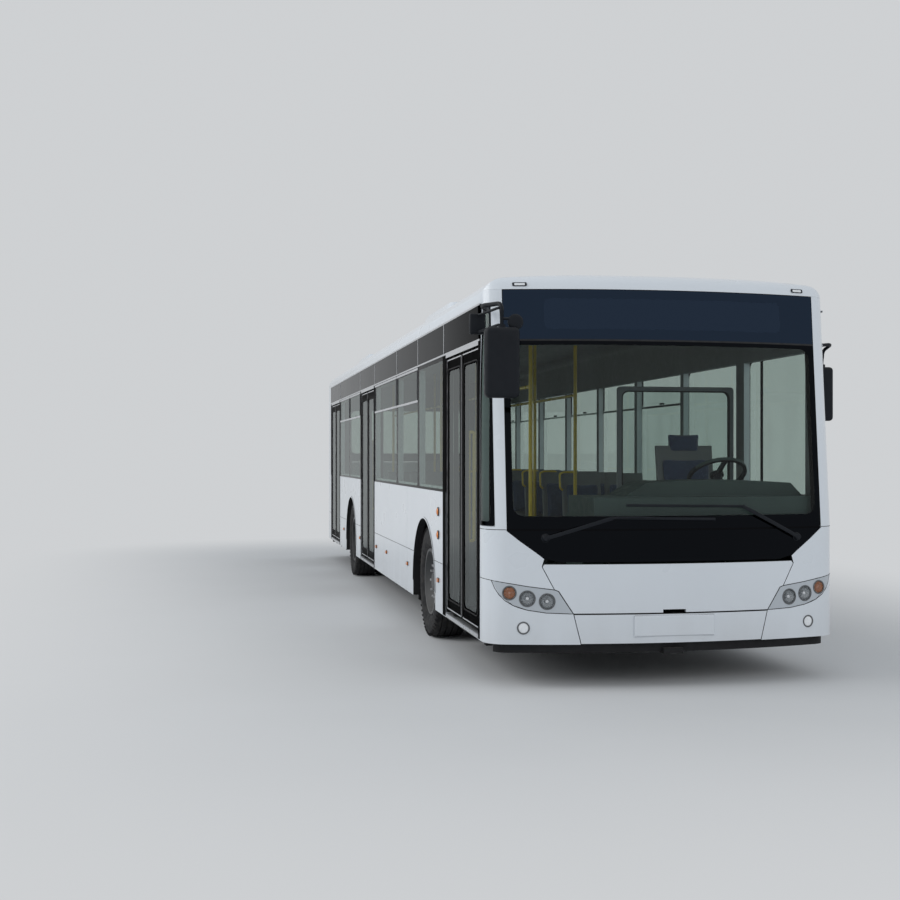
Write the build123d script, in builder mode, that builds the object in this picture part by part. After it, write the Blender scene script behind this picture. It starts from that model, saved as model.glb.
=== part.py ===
from build123d import *
import math
import os

os.makedirs("parts", exist_ok=True)

# A 12 m low-floor city bus with three door pairs on its right side.
# Millimetres, +X forward, +Y to the vehicle's left, Z up from the ground.

# Overall sizes
body_length = 12000
body_width = 2550
body_height = 2850
mirror_reach = 240
front_overhang = 2770
rear_overhang = 3330
skirt_z = 300
wall = 60
pane = 8
panel = 25
seat = 0.3
seam = 5

half_width = body_width / 2
front_x = (body_length - mirror_reach) / 2
rear_x = front_x - body_length
front_axle_x = front_x - front_overhang
rear_axle_x = rear_x + rear_overhang
middle_x = (front_axle_x + rear_axle_x) / 2
inner_y = half_width - wall

# Limits that reach past the body, for cutting a layer of it
front_cut = (front_x - 880, front_x + 220)
rear_cut = (rear_x - 50, rear_x + 100)
all_width = (-half_width - 125, half_width + 125)
all_height = (0, body_height + 100)

# Outer form: plan arcs, roof cove and crown, and how far the front leans back
bow_radius = 4550
front_corner_radius = 180
rear_corner_radius = 120
cove_radius = 175
crown_drop = 40
rear_top_radius = 140
# height, lean
mask_top_z = body_height - 130
front_stations = [(0, 0), (1100, 0), (mask_top_z, 150), (mask_top_z + 45, 166), (mask_top_z + 75, 192),
                  (mask_top_z + 98, 240), (mask_top_z + 118, 320), (mask_top_z + 180, 800)]

# Glazing and panel heights
belt_z = 1286
window_top_z = body_height - 470
band_top_z = body_height - 222
cove_z = body_height - crown_drop - cove_radius
fascia_top_z = 1075
mask_half = 1140
clear_half = 1096
clear_z = (fascia_top_z + 90, body_height - 515)
flap_top_z = 846
flap_bottom_z = 505
scuttle_gap = 9

# Floor
floor_top = 335
floor_thick = 40
floor_bottom = floor_top - floor_thick
frame_top = floor_bottom - seat
rail_depth = 80
rail_width = 60
rail_y = 430
rail_bottom = frame_top - rail_depth
beam_z = (235, 380)
front_beam_x = front_x - 275
rear_beam_x = rear_x + 175

# Tyres and wheels
tyre_radius = 479
tyre_width = 276
bead_radius = 286
bead_width = 224
shoulder_radius = 400
tread_width = 240
front_track_half = 1100
twin_outer = 1112
twin_spacing = 310
kingpin_y = 890
kingpin_radius = 15
pin_gap = 0.3
arch_radius = 590
arch_z = 440
arch_lip = 14
arch_lip_proud = 5
steer_house_half = arch_radius + 15
rear_house_half = arch_radius + 15
house_inner_y = 590
house_top_z = arch_z + arch_radius + 15
house_wall = 15

# Doors: the leaf swings in on a column at its jamb
door_centres = [front_x - 1060, middle_x - 1160, rear_x + 1170]
portal_half = 626
portal_top_z = body_height - 486
column_depth = 86
column_behind_jamb = 20
column_radius = 20
leaf_plane = 58
leaf_thick = 40
leaf_gap_jamb = 8
leaf_gap_middle = 16
pivot_reach = 290
leaf_z = (floor_top + 26, portal_top_z - 25)
arm_thick = 12
arm_gap = 6
arm_radius = 20
hinge_pin_radius = 8
hinge_pin_length = 28
column_top_z = portal_top_z + 28
leaf_frame = 46
leaf_corner = 50
leaf_glass = 6

# Front flap on two swan-neck arms
flap_axis = (front_x - 84, fascia_top_z + 21)
flap_arm_y = 420
flap_arm_half = 12
flap_arm_gap = 9
flap_hub_radius = 17
flap_pin_radius = 6
frame_thin = 28

# Engine flap at the rear
engine_flap_half = 900
engine_flap_z = (622, 1478)
engine_hinge = (rear_x - 11, 1482)
engine_hinge_y = 500
engine_barrel_radius = 9
engine_pin_radius = 4
barrel_length = 60


def block(x, y, z, mode=Mode.ADD):
    """A box between pairs of limits."""
    centre = ((x[0] + x[1]) / 2, (y[0] + y[1]) / 2, (z[0] + z[1]) / 2)
    with Locations(centre):
        Box(abs(x[1] - x[0]), abs(y[1] - y[0]), abs(z[1] - z[0]), mode=mode)


def both(y):
    """The same pair of limits to the right and to the left."""
    return [(-y[1], -y[0]), (y[0], y[1])]


def outline(plane, points, depth, mode=Mode.ADD):
    """A prism on a closed run of points."""
    with BuildSketch(plane) as face:
        with BuildLine():
            Polyline(*points, close=True)
        make_face()
    extrude(face.sketch, amount=depth, mode=mode)


def rod(start, end, radius, mode=Mode.ADD):
    """A round bar between two points."""
    way = Vector(*end) - Vector(*start)
    with BuildSketch(Plane(origin=start, z_dir=way)) as face:
        Circle(radius)
    extrude(face.sketch, amount=way.length, mode=mode)


def hull(inset):
    """The body's closed outer form, moved inward by inset."""
    half = half_width - inset
    bow = bow_radius - inset
    corner = front_corner_radius - inset
    corner_y = half_width - front_corner_radius
    bow_x = front_x - bow_radius
    corner_x = bow_x + math.sqrt((bow_radius - front_corner_radius) ** 2 - corner_y ** 2)
    turn = math.atan2(corner_y, corner_x - bow_x)
    mid = (turn + math.pi / 2) / 2
    with BuildPart() as form:
        for (z0, lean0), (z1, lean1) in zip(front_stations, front_stations[1:]):
            way = Vector(lean0 - lean1, 0, z1 - z0)
            with BuildSketch(Plane(origin=(-lean0, 0, z0))) as plan:
                with BuildLine():
                    ThreePointArc(
                        (bow_x + bow * math.cos(turn), -bow * math.sin(turn)),
                        (bow_x + bow, 0),
                        (bow_x + bow * math.cos(turn), bow * math.sin(turn)))
                    for side in (-1, 1):
                        ThreePointArc(
                            (bow_x + bow * math.cos(turn), side * bow * math.sin(turn)),
                            (corner_x + corner * math.cos(mid), side * (corner_y + corner * math.sin(mid))),
                            (corner_x, side * half))
                        Line((corner_x, side * half), (rear_x - 900, side * half))
                    Line((rear_x - 900, -half), (rear_x - 900, half))
                make_face()
            extrude(plan.sketch, amount=way.length, dir=way)
        # Rear corners
        with BuildSketch(Plane.XY) as plan:
            with Locations((rear_x + inset + body_length, 0)):
                RectangleRounded(2 * body_length, 2 * half, max(rear_corner_radius - inset, 20))
        extrude(plan.sketch, amount=body_height + 100, mode=Mode.INTERSECT)
        # Cove and crown of the roof
        cove = cove_radius - inset
        cove_y = half_width - cove_radius
        edge_z = cove_z + cove
        diagonal = cove * math.sqrt(0.5)
        with BuildSketch(Plane.YZ.offset(rear_x - 1000)) as section:
            with BuildLine():
                ThreePointArc((-cove_y, edge_z), (0, body_height - inset), (cove_y, edge_z))
                for side in (-1, 1):
                    ThreePointArc(
                        (side * cove_y, edge_z),
                        (side * (cove_y + diagonal), cove_z + diagonal),
                        (side * half, cove_z))
                    Line((side * half, cove_z), (side * half, 0))
                Line((-half, 0), (half, 0))
            make_face()
        extrude(section.sketch, amount=body_length + 2000, mode=Mode.INTERSECT)
        # Rounded rear edge of the roof
        rear = rear_x + inset
        top = body_height - inset
        edge = rear_top_radius - inset
        with BuildSketch(Plane.XZ.offset(-body_width)) as profile:
            with BuildLine():
                Polyline((rear + edge, top + 50), (rear - 50, top + 50), (rear - 50, top - edge), (rear, top - edge))
                RadiusArc((rear, top - edge), (rear + edge, top), edge)
                Line((rear + edge, top), (rear + edge, top + 50))
            make_face()
        extrude(profile.sketch, amount=2 * body_width, mode=Mode.SUBTRACT)
    return form.part


def shell(outer, inner):
    """The layer of the body between two insets."""
    with BuildPart() as layer:
        add(outer)
        add(inner, mode=Mode.SUBTRACT)
    return layer.part


outer_hull = hull(0)
inner_hull = hull(wall)
room_hull = hull(wall + seat)
thick_shell = shell(outer_hull, inner_hull)
pane_shell = shell(outer_hull, hull(pane))
rebate_shell = shell(hull(-5), hull(pane + seat))
panel_shell = shell(outer_hull, hull(panel))
lamp_pocket = shell(hull(-5), hull(30 + seat))
lamp_shell = shell(outer_hull, hull(30))
roof_fitting_shell = shell(hull(-60), hull(-seat))
trim_shell = shell(hull(-8), hull(-seat))
wiper_shell = shell(hull(-26), hull(-seat))

# Seen from ahead: half outlines of the lower front, distance from the middle and height
seam_line = [(646, skirt_z - 10), (699, flap_bottom_z), (798, 658), (826, 668), (909, 825), (893, 878)]
black_line = [(940, 915), (1050, 995), (1150, fascia_top_z)]
flap_half = [(0, flap_bottom_z), (699, flap_bottom_z), (798, 658), (826, 668), (909, 825), (893, flap_top_z)]
lamp_half = [(699, 507), (798, 660), (826, 670), (1000, 692), (1300, 742), (1300, 672), (1187, 634),
             (1098, 564), (1000, 532), (880, 514)]


def ahead(points, side):
    """Half outline turned to one side."""
    return [(side * y, z) for y, z in points]


def whole(points):
    """Half outline and its mirror image as one closed run."""
    return points + [(-y, z) for y, z in reversed(points) if y]


def front_prism(points, gap=0.0, mode=Mode.INTERSECT):
    """A prism through the front on an outline seen from ahead, drawn in by gap."""
    with BuildSketch(Plane.YZ.offset(front_cut[0])) as face:
        with BuildLine():
            Polyline(*points, close=True)
        make_face()
        if gap:
            offset(amount=-gap, kind=Kind.INTERSECTION)
    extrude(face.sketch, amount=front_cut[1] - front_cut[0], mode=mode)


# Joints between side panes, and where openings leave a pane out
door_pane_half = portal_half + 90
pane_count = 5
first_joint = front_x - 3080
last_joint = rear_x + 2270
pane_pitch = (first_joint - last_joint) / pane_count
left_marks = [first_joint - pane_pitch * number for number in range(pane_count + 1)]
front_mark = door_centres[0] - door_pane_half
middle_marks = (door_centres[1] + door_pane_half, door_centres[1] - door_pane_half)
rear_mark = door_centres[2] + door_pane_half
right_marks = [mark for mark in left_marks if mark > middle_marks[0] + pane_pitch / 2]
right_marks = [front_mark, *right_marks, middle_marks[0]]
right_joints = [(low, high) for high, low in zip(right_marks, right_marks[1:])] + [(rear_mark, middle_marks[1])]
left_marks = [front_mark, *left_marks, rear_x + 1520]
left_joints = [(low, high) for high, low in zip(left_marks, left_marks[1:])]
driver_pane = ((front_x - 1700, front_x - 500), belt_z - 136)
wall_x = (rear_x + 135, front_x - 385)
rebate_x = (rear_x + 420, front_x - 380)
pane_joint = 4
pane_margin = 42
quarter_x = (front_x - 380, front_x - 182)
quarter_half = (half_width - 109, half_width + 25)
quarter_margin = 20
rear_window_half = 960
rear_window_z = (engine_flap_z[1] + 92, body_height - 520)


def lean_at(height):
    """How far the front stands back at a height."""
    for (z0, lean0), (z1, lean1) in zip(front_stations, front_stations[1:]):
        if height <= z1:
            return lean0 + (lean1 - lean0) * (height - z0) / (z1 - z0)
    return front_stations[-1][1]


def quarter_prism(gap, z, mode):
    """A prism across the right front corner whose front edge leans with the front."""
    outline(Plane.XZ.offset(quarter_half[0]),
            [(quarter_x[0] + gap, z[0]), (quarter_x[1] - gap - lean_at(z[0]), z[0]),
             (quarter_x[1] - gap - lean_at(z[1]), z[1]), (quarter_x[0] + gap, z[1])],
            quarter_half[1] - quarter_half[0], mode)


# Joints between the outer panels: one along each wall at lower_joint_z, uprights from it up or down
joint_depth = 3
lower_joint_z = 704
upper_joint_x = {-1: [front_axle_x - 970, door_centres[1] - portal_half - 12],
                 1: [front_axle_x + 900, front_axle_x - 970, middle_x - 900, rear_axle_x - 900]}
lower_joint_x = {-1: [front_axle_x - 970, middle_x + 170],
                 1: [front_axle_x + 900, front_axle_x - 970, middle_x + 170, middle_x - 900, rear_axle_x - 900]}
panel_joints = {}
for side in (-1, 1):
    along = [(wall_x[0] + 60, wall_x[1] - 60, lower_joint_z, lower_joint_z + seam)]
    above = [(x, x + seam, lower_joint_z, belt_z - 6) for x in upper_joint_x[side]]
    below = [(x, x + seam, skirt_z + 3, lower_joint_z + 1) for x in lower_joint_x[side]]
    panel_joints[side] = along + above + below


def wall_side(side, joints, name):
    """One side wall with its arches, glazing rebate and window openings."""
    face = (side * inner_y - side * 200, side * (half_width + 20))
    with BuildPart() as piece:
        add(thick_shell)
        block(wall_x, face, (skirt_z, cove_z), mode=Mode.INTERSECT)
        for axle_x in (front_axle_x, rear_axle_x):
            with BuildSketch(Plane.XZ.offset(-side * half_width - 100)) as arch:
                with Locations((axle_x, arch_z)):
                    Circle(arch_radius)
                with Locations((axle_x, arch_z - 500)):
                    Rectangle(2 * arch_radius, 1000)
            extrude(arch.sketch, amount=200, mode=Mode.SUBTRACT)
            lip_start = side * (half_width + (arch_lip_proud if side < 0 else -2))
            with BuildSketch(Plane.XZ.offset(-lip_start)) as lip:
                with Locations((axle_x, arch_z)):
                    Circle(arch_radius + arch_lip)
                    Circle(arch_radius, mode=Mode.SUBTRACT)
                with Locations((axle_x, arch_z - 500)):
                    Rectangle(3 * arch_radius, 1000, mode=Mode.SUBTRACT)
            extrude(lip.sketch, amount=-(arch_lip_proud + 2))
        # Joints between the outer panels
        for x0, x1, z0, z1 in panel_joints[side]:
            block((x0, x1), (side * (half_width - joint_depth), side * (half_width + 20)), (z0, z1),
                  mode=Mode.SUBTRACT)
        with BuildPart(mode=Mode.PRIVATE) as rebate:
            add(rebate_shell)
            block(rebate_x, face, (belt_z, band_top_z), mode=Mode.INTERSECT)
        add(rebate.part, mode=Mode.SUBTRACT)
        for x0, x1 in joints:
            block((x0 + pane_margin, x1 - pane_margin), face,
                  (belt_z + pane_margin, window_top_z - pane_margin), mode=Mode.SUBTRACT)
        if side < 0:
            for centre in door_centres:
                block((centre - portal_half, centre + portal_half), face, (0, portal_top_z), mode=Mode.SUBTRACT)
        else:
            (x0, x1), z0 = driver_pane
            with BuildPart(mode=Mode.PRIVATE) as rebate:
                add(rebate_shell)
                block((x0, x1), face, (z0, belt_z + 1), mode=Mode.INTERSECT)
            add(rebate.part, mode=Mode.SUBTRACT)
            block((x0 + pane_margin, x1 - pane_margin), face, (z0 + pane_margin, window_top_z - pane_margin),
                  mode=Mode.SUBTRACT)
    piece.part.label = name
    return piece.part


right_wall = wall_side(-1, right_joints, "right_wall")
left_wall = wall_side(1, left_joints, "left_wall")

# Rear wall with its window, flap opening and lamp pockets
rear_bumper_z = engine_flap_z[0] - 10
tail_lamp_y = half_width - 215
tail_lamp_radius = 55
tail_lamp_depth = 22
tail_lamp_proud = 8
tail_lamp_z = [760, 900, 1040, 1180]
with BuildPart() as rear_wall:
    add(thick_shell)
    block((rear_x - 50, wall_x[0] - seat), all_width, (rear_bumper_z, cove_z), mode=Mode.INTERSECT)
    block((rear_x - 50, rear_x + pane + seat), (-rear_window_half, rear_window_half), rear_window_z,
          mode=Mode.SUBTRACT)
    block(rear_cut, (-rear_window_half + pane_margin, rear_window_half - pane_margin),
          (rear_window_z[0] + pane_margin, rear_window_z[1] - pane_margin), mode=Mode.SUBTRACT)
    block(rear_cut, (-engine_flap_half - seam, engine_flap_half + seam),
          (engine_flap_z[0] - seam, engine_flap_z[1] + 8), mode=Mode.SUBTRACT)
    for side in (-1, 1):
        for height in tail_lamp_z:
            rod((rear_x - 40, side * tail_lamp_y, height),
                (rear_x + tail_lamp_depth + seat, side * tail_lamp_y, height),
                tail_lamp_radius + seat, mode=Mode.SUBTRACT)
        # Hinge lugs with their pins
        hinge_y = side * engine_hinge_y
        lug = sorted((hinge_y + side * (barrel_length / 2 + 5), hinge_y + side * (barrel_length / 2 + 17)))
        block((engine_hinge[0] - 7, rear_x + 20), lug, (engine_hinge[1] + 5, engine_hinge[1] + 24))
        block((engine_hinge[0] - 7, rear_x - 4), lug, (engine_hinge[1] - 7, engine_hinge[1] + 8))
        rod((engine_hinge[0], hinge_y - side * 20, engine_hinge[1]),
            (engine_hinge[0], lug[0] + 6, engine_hinge[1]), engine_pin_radius)
rear_wall.part.label = "rear_wall"

with BuildPart() as engine_flap:
    block((rear_x, rear_x + panel), (-engine_flap_half, engine_flap_half), engine_flap_z)
    for side in (-1, 1):
        y = side * engine_hinge_y
        block((engine_hinge[0] - 3, rear_x + panel), (y - 30, y + 30), (engine_flap_z[1] - 40, engine_flap_z[1]))
        rod((engine_hinge[0], y - barrel_length / 2, engine_hinge[1]),
            (engine_hinge[0], y + barrel_length / 2, engine_hinge[1]), engine_barrel_radius)
        rod((engine_hinge[0], y - barrel_length, engine_hinge[1]),
            (engine_hinge[0], y + barrel_length, engine_hinge[1]), engine_pin_radius + pin_gap, mode=Mode.SUBTRACT)
    # Cooling slots
    for row in range(8):
        block((rear_x - 10, rear_x + 50), (-760, -120), (760 + row * 60, 786 + row * 60), mode=Mode.SUBTRACT)
engine_flap.part.label = "engine_flap"

with BuildPart() as rear_bumper:
    add(thick_shell)
    block((rear_x - 50, wall_x[0] - seat), all_width, (skirt_z, rear_bumper_z - seat), mode=Mode.INTERSECT)
rear_bumper.part.label = "rear_bumper"

with BuildPart() as tail_lamps:
    for side in (-1, 1):
        for height in tail_lamp_z:
            rod((rear_x - tail_lamp_proud, side * tail_lamp_y, height),
                (rear_x + tail_lamp_depth, side * tail_lamp_y, height), tail_lamp_radius)
tail_lamps.part.label = "tail_lamps"

# Roof and front cap
cap_x = front_x - 355
with BuildPart() as roof:
    add(thick_shell)
    block((rear_x - 50, cap_x), all_width, (cove_z + seat, all_height[1]), mode=Mode.INTERSECT)
    block((wall_x[1] + seat, cap_x + 1), all_width, (0, mask_top_z + seat), mode=Mode.SUBTRACT)
roof.part.label = "roof"

with BuildPart() as front_cap:
    add(thick_shell)
    block((cap_x + seat, front_x + 50), all_width, (mask_top_z + seat, all_height[1]), mode=Mode.INTERSECT)
front_cap.part.label = "front_cap"

# Frame of the glazed front, with both windscreen pillars and the flap's hinge brackets
frame_outline = whole([(0, flap_top_z + scuttle_gap), (790, flap_top_z + scuttle_gap), (893, 880)]
                      + black_line + [(all_width[1], fascia_top_z), (all_width[1], mask_top_z), (0, mask_top_z)])
scuttle_outline = whole([(0, flap_top_z + scuttle_gap), (790, flap_top_z + scuttle_gap), (893, 880)]
                        + black_line[:-1] + [(mask_half, fascia_top_z - seam), (0, fascia_top_z - seam)])
with BuildPart() as front_frame:
    add(thick_shell)
    front_prism(frame_outline, seat)
    block((wall_x[1] + seat, front_x + 50), all_width, all_height, mode=Mode.INTERSECT)
    with BuildPart(mode=Mode.PRIVATE) as rebate:
        add(rebate_shell)
        block(front_cut, (-mask_half, mask_half), (flap_top_z, mask_top_z + 20), mode=Mode.INTERSECT)
    add(rebate.part, mode=Mode.SUBTRACT)
    block(front_cut, (-clear_half, clear_half), clear_z, mode=Mode.SUBTRACT)
    # Thin back behind the lower black panel, where the flap's arms pass
    with BuildPart(mode=Mode.PRIVATE) as thinned:
        add(hull(frame_thin))
        block(front_cut, (-flap_arm_y - 140, flap_arm_y + 140), (flap_top_z - 46, fascia_top_z + 60),
              mode=Mode.INTERSECT)
    add(thinned.part, mode=Mode.SUBTRACT)
    # Quarter light ahead of the front door
    with BuildPart(mode=Mode.PRIVATE) as rebate:
        add(rebate_shell)
        quarter_prism(0, (fascia_top_z + 20, band_top_z), Mode.INTERSECT)
    add(rebate.part, mode=Mode.SUBTRACT)
    quarter_prism(quarter_margin, (fascia_top_z + 20 + quarter_margin, band_top_z - quarter_margin), Mode.SUBTRACT)
    for side in (-1, 1):
        bracket = sorted((side * (flap_arm_y + 12), side * (flap_arm_y + 24)))
        with BuildPart(mode=Mode.PRIVATE) as plate:
            block((flap_axis[0] - 17, front_x), bracket, (flap_axis[1] - 17, flap_axis[1] + 17))
            add(hull(frame_thin - 2), mode=Mode.INTERSECT)
        add(plate.part)
        rod((flap_axis[0], side * (flap_arm_y - 10), flap_axis[1]),
            (flap_axis[0], side * (flap_arm_y + 20), flap_axis[1]), flap_pin_radius)
front_frame.part.label = "front_frame"

with BuildPart() as windscreen:
    add(pane_shell)
    block(front_cut, (-mask_half + pane_joint, mask_half - pane_joint),
          (fascia_top_z + pane_joint, mask_top_z - pane_joint), mode=Mode.INTERSECT)
windscreen.part.label = "windscreen"

with BuildPart() as scuttle_panel:
    add(pane_shell)
    front_prism(scuttle_outline, 2)
scuttle_panel.part.label = "scuttle_panel"

# Front corners carry the headlamps; the flap fills the middle
corner_outline = seam_line + black_line + [(all_width[1], fascia_top_z), (all_width[1], skirt_z - 10)]
fog_y = half_width - 245
fog_z = 412
fog_radius = 42
fog_x = (front_x - 280, front_x + 120)
with BuildPart() as front_corners:
    for side in (-1, 1):
        with BuildPart(mode=Mode.PRIVATE) as corner:
            add(thick_shell)
            front_prism(ahead(corner_outline, side), seat)
            block((wall_x[1] + seat, front_x + 50), all_width, (skirt_z, fascia_top_z + 300), mode=Mode.INTERSECT)
            with BuildPart(mode=Mode.PRIVATE) as pocket:
                add(lamp_pocket)
                front_prism(ahead(lamp_half, side))
            add(pocket.part, mode=Mode.SUBTRACT)
            rod((fog_x[0], side * fog_y, fog_z), (fog_x[1], side * fog_y, fog_z), fog_radius, mode=Mode.SUBTRACT)
        add(corner.part)
front_corners.part.label = "front_corners"

# Round lamps in each leaf: distance from the middle, height, radius
round_lamps = [(873, 591, 47), (1004, 610, 47), (1122, 648, 40)]
bezel = 9
bezel_proud = 4
bowl_depth = 20


def bow_plane(y, z, out):
    """A plane that lies on the bowed front at a place, moved outward."""
    bow_x = front_x - bow_radius
    turn = math.asin(y / bow_radius)
    reach = bow_radius + out
    return Plane(origin=(bow_x + reach * math.cos(turn), reach * math.sin(turn), z),
                 z_dir=(math.cos(turn), math.sin(turn), 0))


def bowl(place, radius, depth):
    """A lamp bowl cut into a face, with the bulb's cap left standing."""
    with BuildPart(mode=Mode.PRIVATE) as hollow:
        with BuildSketch(place):
            Circle(radius)
        with BuildSketch(place.offset(-depth)):
            Circle(radius * 0.55)
        loft()
        with BuildSketch(place.offset(-depth)) as cap:
            Circle(radius * 0.3)
        extrude(cap.sketch, amount=depth * 0.6, mode=Mode.SUBTRACT)
    add(hollow.part, mode=Mode.SUBTRACT)


with BuildPart() as headlamps:
    for side in (-1, 1):
        with BuildPart(mode=Mode.PRIVATE) as lamp:
            add(lamp_shell)
            front_prism(ahead(lamp_half, side), 2)
            block((wall_x[1] + 2, front_x + 50), all_width, all_height, mode=Mode.INTERSECT)
            for y, z, radius in round_lamps:
                with BuildSketch(bow_plane(side * y, z, -10)) as rim:
                    Circle(radius + bezel)
                extrude(rim.sketch, amount=10 + bezel_proud)
                bowl(bow_plane(side * y, z, bezel_proud), radius, bowl_depth)
        add(lamp.part)
        with BuildPart(mode=Mode.PRIVATE) as fog:
            rod((fog_x[0], side * fog_y, fog_z), (fog_x[1], side * fog_y, fog_z), fog_radius - seat)
            add(shell(hull(6), hull(40)), mode=Mode.INTERSECT)
            bowl(bow_plane(side * fog_y, fog_z, 0), fog_radius - bezel, bowl_depth)
        add(fog.part)
headlamps.part.label = "headlamps"

plinth_half = 285
plinth_z = (350, 490)
plinth_edge = 7
plinth_x = front_x + 10
bumper_outline = whole([(0, skirt_z), (648, skirt_z), (699, flap_bottom_z), (0, flap_bottom_z)])
with BuildPart() as front_bumper:
    add(thick_shell)
    front_prism(bumper_outline, seam)
    block(front_cut, all_width, (skirt_z + 2, 700), mode=Mode.INTERSECT)
    block((front_x - 40, plinth_x), (-plinth_half, plinth_half), plinth_z)
    chamfer(front_bumper.faces().sort_by(Axis.X)[-1].edges(), plinth_edge)
front_bumper.part.label = "front_bumper"


# A swan neck runs back from the flap's axis, then round below the edge of the black panel
edge_reach = math.hypot(front_x - flap_axis[0], flap_axis[1] - flap_top_z - scuttle_gap)
neck_radius = edge_reach + flap_arm_gap + flap_arm_half
neck_angles = (195, 281)
with BuildPart() as front_flap:
    add(panel_shell)
    front_prism(whole(flap_half), seam)
    front_prism([(-82, 400), (-82, flap_bottom_z + 26), (82, flap_bottom_z + 26), (82, 400)], mode=Mode.SUBTRACT)
    for side in (-1, 1):
        centre = side * flap_arm_y
        with BuildSketch(Plane.XZ.offset(-centre - 6)) as arm:
            with BuildLine():
                bend = CenterArc(flap_axis, neck_radius, neck_angles[0], neck_angles[1] - neck_angles[0])
                Line(flap_axis, bend @ 0)
            trace(line_width=2 * flap_arm_half)
            with Locations(bend @ 0):
                Circle(flap_arm_half)
            with Locations(flap_axis):
                Circle(flap_hub_radius)
                Circle(flap_pin_radius + pin_gap, mode=Mode.SUBTRACT)
        with BuildPart(mode=Mode.PRIVATE) as neck:
            extrude(arm.sketch, amount=12)
            add(hull(panel - 6), mode=Mode.INTERSECT)
        add(neck.part)
front_flap.part.label = "front_flap"

# Glass on both sides and at the rear
with BuildPart() as side_windows:
    for side, joints in ((-1, right_joints), (1, left_joints)):
        face = (side * (inner_y - 100), side * (half_width + 20))
        for x0, x1 in joints:
            with BuildPart(mode=Mode.PRIVATE) as glass:
                add(pane_shell)
                block((x0 + pane_joint, x1 - pane_joint), face, (belt_z + 4, window_top_z - 4), mode=Mode.INTERSECT)
            add(glass.part)
    (x0, x1), z0 = driver_pane
    with BuildPart(mode=Mode.PRIVATE) as glass:
        add(pane_shell)
        block((x0 + pane_joint, x1 - pane_joint), (inner_y - 100, half_width + 20),
              (z0 + pane_joint, window_top_z - pane_joint), mode=Mode.INTERSECT)
    add(glass.part)
    with BuildPart(mode=Mode.PRIVATE) as glass:
        add(pane_shell)
        quarter_prism(pane_joint, (fascia_top_z + 20 + pane_joint, band_top_z - pane_joint), Mode.INTERSECT)
    add(glass.part)
    block((rear_x, rear_x + pane), (-rear_window_half + pane_joint, rear_window_half - pane_joint),
          (rear_window_z[0] + 4, rear_window_z[1] - 4))
side_windows.part.label = "side_windows"

# Glossy band above windows and doors, and blank panes of the belt
rear_end, front_end = rebate_x[0] + pane_joint, wall_x[1] - pane_joint
band_cuts = {-1: [rear_end, rear_mark, middle_marks[1], *sorted(right_marks), front_end],
             1: [rear_end, *sorted(left_marks), front_end]}
with BuildPart() as window_band:
    for side in (-1, 1):
        face = (side * (inner_y - 100), side * (half_width + 20))
        for x0, x1 in zip(band_cuts[side], band_cuts[side][1:]):
            with BuildPart(mode=Mode.PRIVATE) as strip:
                add(pane_shell)
                block((x0 + 2, x1 - 2), face, (window_top_z + 2, band_top_z - 4), mode=Mode.INTERSECT)
            add(strip.part)
window_band.part.label = "window_band"

# Underframe
front_cross = [front_axle_x + out for out in (2190, 1390, 790, -780)]
rear_cross = [rear_axle_x + out for out in (740, -710, -1410, -2110, -2810)]
cross_count = 5
cross_pitch = (front_cross[-1] - rear_cross[0]) / (cross_count + 1)
cross_x = front_cross + [front_cross[-1] - cross_pitch * (number + 1) for number in range(cross_count)] + rear_cross
house_floor = [(front_axle_x, steer_house_half), (rear_axle_x, rear_house_half)]
jack_x = [front_axle_x - 820, rear_axle_x + 740]
tow_x = [front_x - 80, rear_x + 80]
tow_radius = 21
tow_z = (225, 255)
with BuildPart() as underframe:
    for side in (-1, 1):
        block((rear_beam_x - 5, front_beam_x + 5),
              (side * rail_y - rail_width / 2, side * rail_y + rail_width / 2), (rail_bottom, frame_top))
    for x in cross_x:
        reach = inner_y - 20
        block((x - 30, x + 30), (-reach, reach), (beam_z[0], frame_top))
    # End beams behind the bumpers
    with BuildPart(mode=Mode.PRIVATE) as ends:
        block((front_beam_x, front_x), all_width, beam_z)
        block((rear_x, rear_beam_x), all_width, beam_z)
        add(room_hull, mode=Mode.INTERSECT)
        block((front_beam_x + 60, front_x - 200), (-900, 900), (beam_z[0] + 20, beam_z[1] + 1), mode=Mode.SUBTRACT)
    add(ends.part)
    for x in tow_x:
        block((x - 60, x + 60), (-70, 70), tow_z)
        block((x - 60, x + 60), (-70, 70), (tow_z[1] - 1, beam_z[0] + 30))
        rod((x, 0, 0), (x, 0, beam_z[0] + 31), tow_radius, mode=Mode.SUBTRACT)
    for x in jack_x:
        for side in (-1, 1):
            block((x - 50, x + 50), (side * rail_y - 50, side * rail_y + 50), (rail_bottom - 12, rail_bottom + 1))
underframe.part.label = "underframe"

engine_x = (rear_x + 220, rear_x + 1400)
engine_y = (330, inner_y - 55)
engine_z = (floor_bottom, 1350)
with BuildPart() as floor:
    add(room_hull)
    block((rear_beam_x + seat, front_beam_x - seat), all_width, (floor_bottom, floor_top), mode=Mode.INTERSECT)
    for centre in door_centres:
        block((centre - portal_half + 1, centre + portal_half - 1), (-half_width + 5, -inner_y + 5),
              (floor_bottom, floor_top))
    for axle_x, reach in house_floor:
        for y in both((house_inner_y - house_wall - seat, half_width + 10)):
            block((axle_x - reach - house_wall - seat, axle_x + reach + house_wall + seat), y, (0, 600),
                  mode=Mode.SUBTRACT)
    block((engine_x[0] - 30, engine_x[1] + 30), (engine_y[0] - 30, engine_y[1] + 30), (0, 600), mode=Mode.SUBTRACT)
floor.part.label = "floor"

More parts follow.
